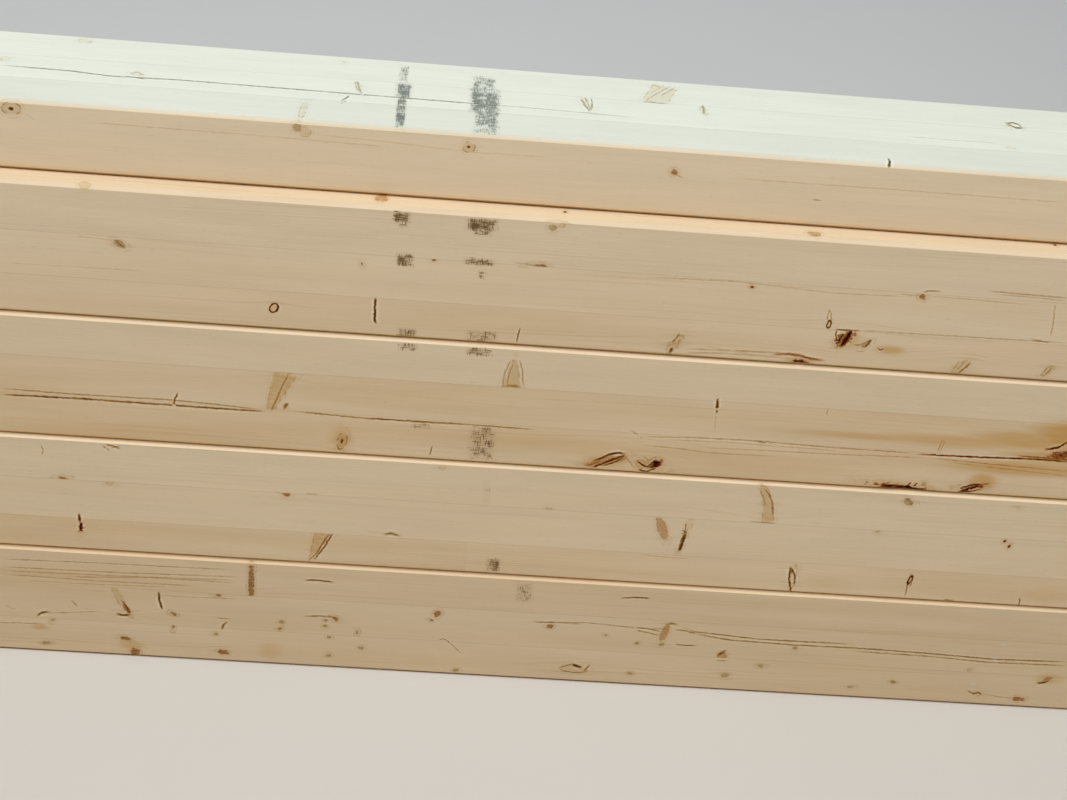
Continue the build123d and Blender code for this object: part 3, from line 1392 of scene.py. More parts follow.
        from_middle = add("VectorMath", {0: round_place}, out="Value", operation="LENGTH")
        past = add("Math", {0: from_middle, 1: kind["Y"]}, operation="SUBTRACT")
        spread = add("Math", {0: past, 1: radius}, **TIMES)
        torn = add("MapRange", {"Value": pattern(self.tear, 2.0)} | span(0.2, 0.8, -0.4, 0.4))
        depth = add("Math", {0: spread, 1: torn})
        some = add("Math", {0: kind["Y"], 1: 8.0}, use_clamp=True, **TIMES)
        core = add("MapRange", {"Value": depth} | span(-1.2, 0.4, 1.3, 0.0))
        heart = add("Math", {0: core, 1: some}, **TIMES)
        return self._stained(add, colour, linear(self.heart), heart)

    def _shake(self, add: partial, pattern: partial, layer: str) -> Socket:
        """Give how dark one layer of the cracks and lines of grain is, and how pale the wood beside them.

        Args:
            add: What adds a node to the material's tree.
            pattern: What gives an uneven pattern, by its marks' size and its detail.
            layer: The layer's attribute.

        Returns:
            How dark it is, below 0 where it is paler.
        """
        own = add("SeparateXYZ", {0: add("Attribute", out="Vector", attribute_name=layer)}).node.outputs
        waver = add("MapRange", {"Value": pattern(self.waver, 2.5)} | span(0.2, 0.8, -0.6, 0.6))
        off = add("Math", {0: own["X"], 1: waver})
        away = add("Math", {0: off}, operation="ABSOLUTE")
        line = add("MapRange", {"Value": away} | span(0.0, own["Z"], 1.15, 0.0), **SMOOTH)
        beside = add("Math", {0: own["Z"], 1: -1.5, 2: away}, operation="MULTIPLY_ADD")
        near = add("Math", {0: beside}, operation="ABSOLUTE")
        flank = add("MapRange", {"Value": near} | span(0.0, own["Z"], -0.07, 0.0), **SMOOTH)
        line = add("Math", {0: line, 1: flank})
        broken = add("MapRange", {"Value": pattern(self.fading, 1.0)} | span(0.35, 0.55, 0.6))
        strong = add("Math", {0: line, 1: own["Y"]}, **TIMES)
        return add("Math", {0: strong, 1: broken}, **TIMES)

    def _soil(self, add: partial, pattern: partial, wood: Socket, stain: Outputs) -> Socket:
        """Smudge the wood with broken crossed strokes over a thin wash.

        Args:
            add: What adds a node to the material's tree.
            pattern: What gives an uneven pattern, by its marks' size and its detail.
            wood: The wood's colour.
            stain: The shares of resin and painted shade, of smudge, and of pale scuffs and painted
                highlight.

        Returns:
            The smudged colour.
        """
        dirt = stain["Y"]
        level = pattern(self.stroke, 1.5)
        upright = pattern(self.stroke[::-1], 1.5)
        crossed = add("Math", {0: level, 1: upright}, operation="MAXIMUM")
        patchy = add("MapRange", {"Value": pattern(self.blotch, 2.0)} | span(0.3, 0.7, 0.6, 1.15))
        thick = add("Math", {0: dirt, 1: patchy}, **TIMES)
        reach = add("Math", {0: thick, 1: 0.42, 2: crossed}, operation="MULTIPLY_ADD")
        stroke = add("MapRange", {"Value": reach} | span(0.74, 0.94, 0.0, 1.25))
        there = add("MapRange", {"Value": dirt} | span(0.02, 0.15))
        cover = add("Math", {0: stroke, 1: there}, **TIMES)
        wash = add("Math", {0: dirt, 1: 0.1}, **TIMES)
        spread = add("Math", {0: cover, 1: 0.85, 2: wash}, operation="MULTIPLY_ADD")
        # A smudge turns greyer and bluer where the wood carries the painted highlight.
        dye = add("Mix", {0: stain["Z"], 6: linear(self.soot), 7: linear(self.dust)}, **COLOURS)
        return self._stained(add, wood, dye, spread)


@dataclass(frozen=True)
class SawnEnd:
    """Spruce cut across by a circular saw: darker than planed wood, with every ring plain to see.

    Attributes:
        early, late: The wood that a ring starts with and ends with, end on.
        saw_pitch: The distance between the saw's marks, drawn as coarse as it needs to show.
        roughness: How dull the cut ends of the fibres are.
    """

    early: str = "#d9bd90"
    late: str = "#a9784a"
    saw_pitch: float = 4.0
    roughness: float = 0.8

    def build(self) -> bpy.types.Material:
        """Build the material from the attributes that every beam carries.

        Returns:
            The material.
        """
        material, add = new_material("sawn_end_grain")
        place = add("Attribute", out="Vector", attribute_name="place")
        share = add("Math", {0: add("Attribute", out="Fac", attribute_name="ring")}, operation="FRACT")
        rise = add("MapRange", {"Value": share} | span(0.3, 0.9), **SMOOTH)
        fall = add("MapRange", {"Value": share} | span(0.9, 1.0, 0.8, 0.0))
        ring = add("Math", {0: rise, 1: fall}, **TIMES)
        wood = add("Mix", {0: ring, 6: linear(self.early), 7: linear(self.late)}, **COLOURS)
        tone = add("Attribute", out="Vector", attribute_name="board")
        board = add("Math", {0: add("SeparateXYZ", {0: tone}), 1: 1.0})
        pores = add("TexNoise", {"Vector": place, "Scale": 1 / (0.8 * MM), "Detail": 2.0})
        grit = add("MapRange", {"Value": pores} | span(0.3, 0.7, 0.9, 1.08))
        teeth = add("TexWave", {"Vector": place, "Scale": 0.314 / (self.saw_pitch * MM), "Distortion": 1.5,
                                "Detail": 2.0}, out="Fac", bands_direction="DIAGONAL")
        cut = add("MapRange", {"Value": teeth} | span(start=0.95, end=1.04))
        light = add("Math", {0: grit, 1: cut}, **TIMES)
        light = add("Math", {0: light, 1: board}, **TIMES)
        glue = add("SeparateXYZ", {0: place}, out="Z")
        seam = add("MapRange", {"Value": glue} | span(0.15, 0.5, 0.6))
        light = add("Math", {0: light, 1: seam}, **TIMES)
        colour = add("VectorMath", {0: wood, "Scale": light}, operation="SCALE")
        bump = add("Bump", {"Strength": 0.5, "Distance": 0.15 * MM, "Height": teeth})
        shader = add("BsdfPrincipled", {"Base Color": colour, "Roughness": self.roughness, "Normal": bump,
                                        "IOR": 1.45, "Specular IOR Level": 0.3})
        add("OutputMaterial", {"Surface": shader})
        return material


@dataclass(frozen=True)
class Studio:
    """A pale floor under a high soft box, with a cool light from behind and a little from the room.

    Sizes are in metres.

    Attributes:
        floor_size: The floor's side.
        floor_colour: The floor's paint.
        room_colour: The light that the room gives back.
        room_strength: How strong that is.
        key_colour, key_power, key_size, key_place: The soft box, high over the front.
        sky_colour, sky_power, sky_size, sky_place: The cool light from behind.
        aim: Where both point.
    """

    floor_size: float = 24.0
    floor_colour: str = "#d9d7d2"
    room_colour: str = "#ffffff"
    room_strength: float = 0.15
    key_colour: str = "#ffffff"
    key_power: float = 70.0
    key_size: Pair = (3.6, 1.2)
    key_place: tuple[float, float, float] = (-0.2, -1.15, 2.6)
    sky_colour: str = "#e6f0ff"
    sky_power: float = 40.0
    sky_size: Pair = (4.0, 1.6)
    sky_place: tuple[float, float, float] = (-0.25, 2.4, 2.4)
    aim: tuple[float, float, float] = (0.0, 0.0, 0.45)

    def build(self) -> None:
        """Lay the floor, hang the lights and set how light becomes colour."""
        scene = bpy.context.scene
        scene.view_settings.view_transform = "Standard"
        half = self.floor_size / 2
        mesh = bpy.data.meshes.new("studio_floor")
        mesh.from_pydata([(-half, -half, 0), (half, -half, 0), (half, half, 0), (-half, half, 0)], [],
                         [(0, 1, 2, 3)])
        floor = bpy.data.objects.new("studio_floor", mesh)
        scene.collection.objects.link(floor)
        mesh.materials.append(self._floor_paint())
        self._hang("key_light", self.key_colour, self.key_power, self.key_size, self.key_place)
        self._hang("sky_light", self.sky_colour, self.sky_power, self.sky_size, self.sky_place)
        room = bpy.data.worlds.new("studio_room")
        room.use_nodes = True
        room.node_tree.nodes.clear()
        glow = add_node(room.node_tree, "Background", {"Color": linear(self.room_colour),
                                                       "Strength": self.room_strength})
        add_node(room.node_tree, "OutputWorld", {"Surface": glow})
        scene.world = room

    def _floor_paint(self) -> bpy.types.Material:
        """Build the floor's matt paint, a little uneven as a rolled coat is.

        Returns:
            The paint.
        """
        material, add = new_material("matt_floor_paint")
        spot = add("TexCoord", out="Object")
        cloud = add("TexNoise", {"Vector": spot, "Scale": 3.0, "Detail": 3.0})
        light = add("MapRange", {"Value": cloud} | span(start=0.98, end=1.02))
        paint = add("VectorMath", {0: linear(self.floor_colour)[:3], "Scale": light}, operation="SCALE")
        shader = add("BsdfPrincipled", {"Base Color": paint, "Roughness": 0.85})
        add("OutputMaterial", {"Surface": shader})
        return material

    def _hang(self, name: str, colour: str, power: float, size: Pair,
              place: tuple[float, float, float]) -> None:
        """Hang one soft box and turn it to the stack.

        Args:
            name: Its name.
            colour: The light's colour.
            power: Its power in watts.
            size: Its width and height.
            place: Where it hangs.
        """
        box = bpy.data.lights.new(name, "AREA")
        box.shape = "RECTANGLE"
        box.size, box.size_y = size
        box.energy = power
        box.color = linear(colour)[:3]
        lamp = bpy.data.objects.new(name, box)
        lamp.location = place
        lamp.rotation_euler = (Vector(self.aim) - Vector(place)).to_track_quat("-Z", "Y").to_euler()
        bpy.context.scene.collection.objects.link(lamp)


SOUND, FAINT, SPIKE, WARM, RED, STREAK, BARK, PIN, RINGED, LOOSE = KnotKind
UPPER, LOWER = Side.UPPER, Side.LOWER
RESIN, PALE = Soil.RESIN, Soil.PALE

# The odd beam on top: its wide face looks up, and its lower narrow face is the stack's uppermost front
TOP_BOARDS = (Board(tone=-0.06, contrast=0.14, ring=3.0), Board(contrast=0.12, pith_up=40.0),
              Board(contrast=0.12, ring=3.2))
TOP_MARKS = (
    Knot(photo=(85, 41), long=10, short=8, kind=FAINT),
    Knot(photo=(6, 59), long=8, short=8, kind=FAINT),
    Knot(photo=(344, 62), long=3.5, short=3),
    Knot(photo=(359, 87), long=17, short=5, lean=108, kind=FAINT),
    Shake(photo=((357.5, 81), (359, 87), (361.5, 93.5)), width=1.2, dark=0.48),
    Shake(photo=((355, 82), (356.6, 88), (360.5, 93)), dark=0.4),
    Shake(photo=((349, 96), (345, 99), (341, 100.6)), width=1.3, dark=0.65),
    Shake(photo=((346, 101), (342, 103)), width=1.0, dark=0.4),
    Knot(photo=(303, 110), long=30, short=5, lean=86, kind=FAINT),
    Knot(photo=(138, 73.5), long=10, short=6, kind=FAINT),
    Shake(photo=((124, 76.6), (134, 77.2), (145, 78.6)), width=1.8, dark=0.8),
    Shake(photo=((130, 73), (138, 72.6), (145, 76)), width=1.0, dark=0.45),
    Knot(photo=(587, 104), long=22, short=7, lean=108, kind=FAINT),
    Shake(photo=((581, 98), (585, 105), (590, 112)), width=1.3, dark=0.48),
    Shake(photo=((584.6, 97), (588, 104), (590.4, 110)), width=1.0, dark=0.45),
    Shake(photo=((591, 98), (592.4, 104), (591, 110.5)), width=1.1, dark=0.5),
    Knot(photo=(659.5, 95), long=30, short=20, lean=70, kind=SPIKE),
    Shake(photo=((672, 85.6), (664, 89.6), (655, 94.6), (645, 101)), dark=0.4),
    Shake(photo=((675, 87.6), (668, 91.6), (661, 96)), dark=0.45),
    Shake(photo=((665, 84.6), (658, 89), (650, 94)), width=0.8),
    Shake(photo=((643, 101.7), (655, 102.8), (667, 103.8)), width=1.2, dark=0.5),
    Knot(photo=(704, 111), long=16, short=5, lean=98, kind=FAINT),
    Shake(photo=((702.4, 105.4), (703.6, 109), (704, 113.4)), width=1.5, dark=0.55),
    Knot(photo=(1014, 125), long=14, short=9, lean=-20, kind=FAINT),
    Shake(photo=((1008, 123.4), (1012, 122.6), (1016, 123.2), (1023, 128)), width=1.7, dark=0.9),
    Shake(photo=((1009, 124.4), (1013.6, 127.4), (1021, 128.2)), width=1.7, dark=0.85),
    Knot(photo=(1011, 148), long=6, short=5, kind=FAINT),
    Shake(photo=((-4, 64.7), (70, 70.8), (110, 76), (180, 80), (380, 96), (480, 104)), width=1.5, dark=0.6),
    Shake(photo=((440, 101), (520, 107), (592, 113.4), (640, 118)), width=1.2, dark=0.35),
    Shake(photo=((902, 136), (950, 140), (1001, 143)), width=0.8),
    Shake(photo=((888.6, 158.4), (889.8, 161.6), (889.6, 165)), width=1.5, dark=1.0),
    Patch(photo=(404, 74), long=9, tall=34, amount=0.62),
    Patch(photo=(404, 91), long=13, tall=30, amount=1.0),
    Patch(photo=(401, 112), long=9, tall=54, amount=1.0),
    Patch(photo=(484, 86), long=20, tall=38, amount=0.75),
    Patch(photo=(485, 100), long=26, tall=46, amount=0.95),
    Patch(photo=(487, 117), long=21, tall=40, amount=0.85),
    Patch(photo=(486, 130), long=22, tall=14, amount=0.6),
    Knot(photo=(11, 108.6), long=14, short=11, kind=RINGED, side=LOWER),
    Shake(photo=((22, 111), (30, 117), (34, 120)), width=1.0, dark=0.12, side=LOWER),
    Knot(photo=(297, 128), long=7, short=6.4, side=LOWER),
    Knot(photo=(305, 131.4), long=9, short=9, kind=FAINT, pull=1.8, side=LOWER),
    Knot(photo=(468.7, 147), long=9.5, short=9, kind=RINGED, side=LOWER),
    Knot(photo=(674.3, 172.3), long=5, short=4.4, kind=STREAK, pull=2.0, side=LOWER),
    Shake(photo=((677, 175), (684, 179)), dark=0.25, side=LOWER),
    Shake(photo=((814.4, 199.8), (819.6, 200.4)), width=1.0, dark=0.45, side=LOWER),
    Shake(photo=((85, 122), (240, 134), (400, 148)), width=0.8, dark=0.16, side=LOWER),
    Shake(photo=((310, 134), (380, 141), (470, 152), (560, 158)), width=1.0, dark=0.14, side=LOWER),
    Shake(photo=((730, 178), (900, 190), (1071, 203)), dark=0.18, side=LOWER),
)

# The front beam of row 4, with the ledge that its upper narrow face makes
ROW4_BOARDS = (Board(tone=-0.01, warmth=0.16, contrast=0.45),
               Board(tone=-0.01, warmth=0.08, contrast=0.3, pith_up=35.0),
               Board(tone=-0.03, warmth=0.02, contrast=0.35, ring=2.2))
ROW4_MARKS = (
    Knot(photo=(84.7, 184), long=9, short=7, kind=FAINT, side=UPPER),
    Knot(photo=(381, 198.4), long=10, short=10, kind=WARM, side=UPPER),
    Knot(photo=(380, 196.4), long=6, short=4, kind=RED, side=UPPER),
    Knot(photo=(553.5, 223), long=6, short=5, side=UPPER),
    Knot(photo=(562, 222), long=6, short=4, kind=FAINT, side=UPPER),
    Knot(photo=(814, 233.7), long=10, short=7, side=UPPER),
    Knot(photo=(565, 212), long=3, short=3, kind=PIN, side=UPPER),
    Knot(photo=(1055, 245), long=3, short=3, kind=PIN, side=UPPER),
    Patch(photo=(402, 217), long=14, tall=11, amount=0.95),
    Patch(photo=(403, 224), long=8, tall=8, amount=0.6),
    Patch(photo=(482, 225), long=26, tall=12, amount=0.92),
    Patch(photo=(483, 232), long=17, tall=8, amount=0.69),
    Patch(photo=(405, 260), long=15, tall=13, amount=0.86),
    Patch(photo=(479, 262), long=26, tall=7, amount=0.77),
    Patch(photo=(482, 275), long=7, tall=8, amount=0.69),
    Patch(photo=(407, 333), long=17, tall=10, amount=0.69),
    Patch(photo=(482, 337), long=27, tall=13, amount=0.62),
    Knot(photo=(119.5, 244), long=10, short=5, lean=-28),
    Shake(photo=((115, 240.5), (120, 244.5), (124, 247.5)), width=1.4, dark=0.35),
    Knot(photo=(274, 308), long=8.6, short=6.4, lean=62, kind=LOOSE),
    Knot(photo=(273.6, 308), long=2.4, short=1.8, lean=62, kind=PIN),
    Shake(photo=((276, 303.6), (278.2, 306.4), (276.4, 311.6)), width=1.5, dark=0.7),
    Shake(photo=((375.4, 297.5), (375, 310), (374.6, 319), (376.2, 324)), width=1.35, dark=1.0),
    Knot(photo=(362, 264), long=2.2, short=1.2, lean=110, kind=PIN),
    Knot(photo=(434, 260), long=3, short=2, kind=PIN),
    Knot(photo=(539.5, 266.2), long=9, short=3.4, lean=-3, kind=STREAK),
    Shake(photo=((515, 263), (526, 264), (536, 266)), width=1.0, dark=0.22),
    Shake(photo=((518, 266.5), (532, 268.5)), dark=0.2),
    Shake(photo=((520, 328), (518, 335), (517, 342)), dark=0.8),
    Knot(photo=(674.5, 344), long=20, short=9, lean=55, kind=FAINT, pull=1.5),
    Shake(photo=((679.3, 333.5), (676, 338.5), (672.3, 342.6)), width=1.1, dark=0.5),
    Shake(photo=((672.6, 348), (671, 350), (669.5, 352.3)), width=1.7, dark=0.9),
    Shake(photo=((680.5, 338.5), (678.5, 343), (675, 347))),
    Shake(photo=((666, 346.6), (671, 344.6), (676, 343)), width=0.8, dark=0.25),
    Knot(photo=(752, 287), long=3, short=2.5, kind=PIN),
    Knot(photo=(829, 324.4), long=6.4, short=3.2, lean=86, kind=LOOSE),
    Shake(photo=((829.6, 309), (828, 315), (827, 319.5)), width=0.8, dark=0.4),
    Shake(photo=((830, 311), (831.2, 315), (831.5, 320)), width=0.8, dark=0.4),
    Knot(photo=(844.5, 338.5), long=18, short=10, lean=48, kind=BARK, pull=1.5),
    Shake(photo=((850.8, 330.5), (848, 337), (844, 343), (841, 347)), width=2.3, dark=1.0),
    Shake(photo=((836.5, 329.5), (845, 330.2), (858.5, 330.6)), width=1.1, dark=0.7),
    Shake(photo=((836.8, 330), (835.6, 335), (837.3, 341)), width=1.0, dark=0.6),
    Shake(photo=((843.5, 334), (840, 339), (839, 343)), width=1.0, dark=0.7),
    Knot(photo=(866.5, 344), long=8, short=4, lean=45),
    Shake(photo=((871, 340), (868, 344), (865, 347)), width=1.4, dark=0.65),
    Shake(photo=((855.4, 345), (860, 344.8), (864.5, 343)), dark=0.4),
    Shake(photo=((856, 351), (861, 352), (865, 350.5)), width=0.8),
    Shake(photo=((877.5, 348), (880, 350), (883.5, 348.4)), width=1.1, dark=0.8),
    Patch(photo=(890, 350), long=30, tall=10, soil=RESIN, amount=0.6),
    Patch(photo=(848, 341), long=30, tall=20, soil=RESIN, amount=0.5),
    Patch(photo=(801, 361), long=30, tall=8, soil=RESIN, amount=0.6),
    Knot(photo=(799, 361.6), long=10, short=3.4, kind=BARK, pull=2.5),
    Shake(photo=((794, 361), (799, 361.4), (805, 363)), width=1.4, dark=0.9),
    Knot(photo=(805, 362.7), long=5, short=2.4, kind=RED),
    Shake(photo=((772, 354.6), (790, 354), (799, 355), (811, 359), (824, 360.6)), width=1.8, dark=0.42),
    Shake(photo=((682, 348.6), (731, 350.4), (779, 353), (804, 357), (829, 361.5)), width=1.3, dark=0.28),
    Shake(photo=((684, 352.6), (725, 353.4), (770, 356.6)), width=1.2, dark=0.25),
    Shake(photo=((700, 345), (751, 354.5), (790, 358.7)), width=1.0, dark=0.18),
    Knot(photo=(923, 297), long=5, short=4, lean=-20, kind=STREAK, pull=2.5),
    Shake(photo=((924, 292), (930, 290.8), (939, 291.4)), width=1.1, dark=0.55),
    Shake(photo=((900, 294), (912, 295.5), (921, 295.5)), width=1.0, dark=0.25),
    Shake(photo=((928, 296), (946, 297.5), (1029, 304.6)), dark=0.22),
    Shake(photo=((987, 290.8), (1020, 294), (1071, 298.4)), width=1.1, dark=0.35),
    Shake(photo=((998, 294.6), (1030, 297), (1071, 301.5)), dark=0.25),
    Shake(photo=((640, 277), (732, 281), (834, 293.2), (916, 297)), dark=0.2),
    Shake(photo=((668, 277.8), (740, 282), (818, 289)), width=0.8, dark=0.14),
    Shake(photo=((848, 329.7), (940, 335.3), (1071, 343.2))),
    Shake(photo=((1032, 339.2), (1040, 341), (1049, 342.6)), width=1.0, dark=0.45),
    Knot(photo=(961, 367), long=17, short=8, lean=48, kind=FAINT),
    Shake(photo=((964, 362), (961, 366), (957, 370)), dark=0.35),
    Shake(photo=((969.6, 363.4), (965, 368), (958.5, 372.6)), width=1.1, dark=0.5),
    Shake(photo=((959.6, 361), (957, 364), (954.4, 368)), width=0.8),
    Knot(photo=(1048, 371), long=12, short=6, lean=48, kind=FAINT),
    Shake(photo=((1052, 367.4), (1049, 371), (1045, 374.5)), width=1.0, dark=0.45),
    Shake(photo=((1047, 367), (1045.5, 370), (1044.3, 373)), width=0.8, dark=0.35),
    Shake(photo=((1056, 303), (1054, 312), (1053.5, 322), (1050.5, 337)), width=1.0),
    Shake(photo=((-4, 262), (60, 266), (150, 271)), width=0.8, dark=0.15),
    Shake(photo=((76, 236), (104, 239), (116, 241)), dark=0.2),
)

# The front beam of row 3
ROW3_BOARDS = (Board(warmth=0.28, contrast=0.45),
               Board(tone=-0.01, warmth=0.22, contrast=0.3, pith_up=30.0),
               Board(tone=-0.03, warmth=0.06, contrast=0.2))
ROW3_MARKS = (
    Shake(photo=((-4, 394), (80, 398.6), (170, 405), (220, 408.6), (270, 411.7)), width=1.3, dark=0.75),
    Shake(photo=((-4, 388), (80, 394.6), (167, 399.6), (213, 404), (267, 410.6)), width=1.1, dark=0.4),
    Shake(photo=((290, 411), (367, 418.4), (443, 422.6), (540, 430)), width=1.1, dark=0.5),
    Shake(photo=((366, 417.6), (400, 420.6), (460, 424.6)), width=1.1, dark=0.45),
    Shake(photo=((177.6, 393), (175.4, 398), (173.4, 404.6)), width=1.3, dark=0.75),
    Knot(photo=(277, 393), long=44, short=12, lean=72, kind=SPIKE, taper=0.55),
    Shake(photo=((288.8, 373.6), (282.2, 386.3), (276.3, 399.7), (270.5, 412.4)), width=1.1, dark=0.42),
    Shake(photo=((290.5, 375), (286, 392), (284, 408)), width=0.8, dark=0.12),
    Knot(photo=(285.4, 406), long=4, short=1.8, lean=70, kind=STREAK),
    Knot(photo=(513, 374), long=27, short=9.5, lean=88, kind=SPIKE, taper=-0.6),
    Shake(photo=((507, 385.4), (513, 385.9), (520, 386.5)), width=1.8, dark=0.4),
    Shake(photo=((511, 360), (505, 372), (502.5, 385)), width=1.1, dark=0.35),
    Shake(photo=((519.5, 360), (522.5, 370), (523.2, 386)), width=1.0, dark=0.4),
    Shake(photo=((513.4, 363), (509, 375), (507, 386)), width=0.8, dark=0.35),
    Knot(photo=(342, 441), long=17, short=8, lean=80, kind=RINGED),
    Patch(photo=(341, 438), long=24, tall=30, soil=RESIN, amount=0.3),
    Shake(photo=((432, 446), (430, 455)), dark=0.6),
    Patch(photo=(408, 347), long=18, tall=8, amount=0.6),
    Patch(photo=(479, 352), long=22, tall=9, amount=0.73),
    Patch(photo=(421, 426), long=18, tall=7, amount=0.52),
    Patch(photo=(482, 443), long=24, tall=40, amount=0.6),
    Shake(photo=((632, 431), (637, 434), (641, 438)), width=1.1),
    Shake(photo=((717.6, 398.6), (717.4, 404), (716.6, 413)), width=1.6, dark=0.9),
    Shake(photo=((716, 414), (715.4, 422), (714.6, 430)), dark=0.2),
    Knot(photo=(763, 442), long=7, short=3.5, kind=FAINT, pull=2.0),
    Shake(photo=((757, 440.6), (763, 442.6), (768, 441.4)), dark=0.45),
    Shake(photo=((767, 441), (776, 445))),
    Knot(photo=(606, 461), long=34, short=8, lean=18, kind=WARM, pull=1.2),
    Patch(photo=(604, 461), long=44, tall=16, soil=RESIN, amount=0.4),
    Patch(photo=(649, 465), long=32, tall=16, soil=RESIN, amount=0.4),
    Shake(photo=((595, 460.5), (609.7, 454.3), (618, 452.6), (624.5, 453.8)), width=1.6, dark=1.0),
    Shake(photo=((593, 467), (603, 463.4), (611.3, 460), (624.7, 455.4)), width=1.5, dark=1.0),
    Shake(photo=((603, 465.8), (614.7, 462.2), (623, 457.7)), width=1.0, dark=0.8),
    Shake(photo=((585, 466), (600, 461.5)), width=1.0, dark=0.5),
    Shake(photo=((625.5, 456.8), (630, 462), (634.7, 468.5)), width=0.8),
    Knot(photo=(646, 465), long=19, short=9, lean=-12, kind=FAINT, pull=1.5),
    Shake(photo=((637, 461), (643, 465.4), (648, 467), (656, 459)), width=1.3, dark=1.0),
    Shake(photo=((639, 469.5), (646, 471.8), (654, 469)), width=1.3, dark=1.0),
    Shake(photo=((645, 456.5), (648.5, 461), (655, 457)), width=1.0, dark=0.55),
    Knot(photo=(655.4, 464.6), long=11, short=6, lean=55, kind=BARK),
    Shake(photo=((650, 467.6), (654, 467), (657.6, 461)), width=2.2, dark=1.0),
    Patch(photo=(880, 437), long=190, tall=9, soil=RESIN, amount=0.34),
    Patch(photo=(960, 441), long=170, tall=15, soil=RESIN, amount=0.52),
    Patch(photo=(1030, 441), long=130, tall=22, soil=RESIN, amount=0.66),
    Patch(photo=(1074, 437), long=90, tall=38, soil=RESIN, amount=0.82),
    Patch(photo=(1052, 458), long=100, tall=15, soil=RESIN, amount=0.55),
    Patch(photo=(1030, 470), long=170, tall=18, soil=RESIN, amount=0.56),
    Shake(photo=((914, 453.8), (973, 457), (1029, 458.9), (1050, 460.3), (1075, 462.4)),
          width=1.2, dark=0.85),
    Shake(photo=((1016, 455.8), (1046, 458), (1075, 460.4)), width=1.2, dark=0.5),
    Shake(photo=((946, 461.7), (1000, 468.4), (1075, 477)), dark=0.22),
    Shake(photo=((930, 458), (985, 463.5), (1075, 472)), dark=0.25),
    Shake(photo=((1047, 449.5), (1058, 447.7), (1069, 441.5)), width=1.5, dark=0.9),
    Knot(photo=(1061, 455), long=18, short=8, kind=BARK, pull=2.0),
    Shake(photo=((942.6, 440), (940, 446), (937, 452)), dark=0.35),
    Shake(photo=((945.4, 441), (942.6, 446), (939.6, 452.5)), width=0.8),
    Shake(photo=((827.4, 409), (827, 415)), width=0.7, dark=0.35),
    Shake(photo=((636, 436.5), (700, 437.8), (751, 440.6), (834, 447.6), (918, 453.4)),
          width=1.0, dark=0.32),
    Shake(photo=((636, 444.6), (680, 448.6), (709, 452.8), (779, 456.6)), width=1.0, dark=0.24),
    Shake(photo=((662, 439.4), (732, 442.6), (773, 446), (840, 451)), dark=0.22),
    Shake(photo=((695, 447), (760, 450.4), (840, 454.4), (926, 458)), dark=0.24),
    Knot(photo=(902, 487), long=42, short=4.6, lean=-4, kind=BARK, pull=1.2),
    Shake(photo=((877, 487.4), (894, 488.6), (911, 488.8), (928, 491)), width=2.4, dark=1.0),
    Patch(photo=(905, 486), long=60, tall=9, soil=RESIN, amount=0.45),
    Shake(photo=((880, 484.6), (894, 486), (908, 486.8), (914, 488)), width=1.3, dark=0.9),
    Shake(photo=((905, 486.6), (908, 485), (910.7, 482.6)), width=1.0, dark=0.8),
    Shake(photo=((911, 487.6), (914, 486), (917, 483.4)), width=1.0, dark=0.7),
    Knot(photo=(924, 484), long=4, short=4.5),
    Knot(photo=(971, 487.6), long=20, short=5, lean=12, kind=BARK, pull=1.2),
    Shake(photo=((957, 492.6), (968, 489.6), (978, 486.4)), width=1.8, dark=1.0),
    Shake(photo=((964, 487.6), (971, 484.8), (981, 484.4)), width=1.2, dark=0.8),
    Shake(photo=((962, 491.8), (974, 491), (981, 489)), width=1.0, dark=0.7),
    Knot(photo=(955, 487), long=10, short=4, lean=25, kind=FAINT),
    Patch(photo=(982, 482), long=30, tall=22, soil=RESIN, amount=0.7),
    Shake(photo=((520, 398), (640, 404), (800, 415)), dark=0.1),
)

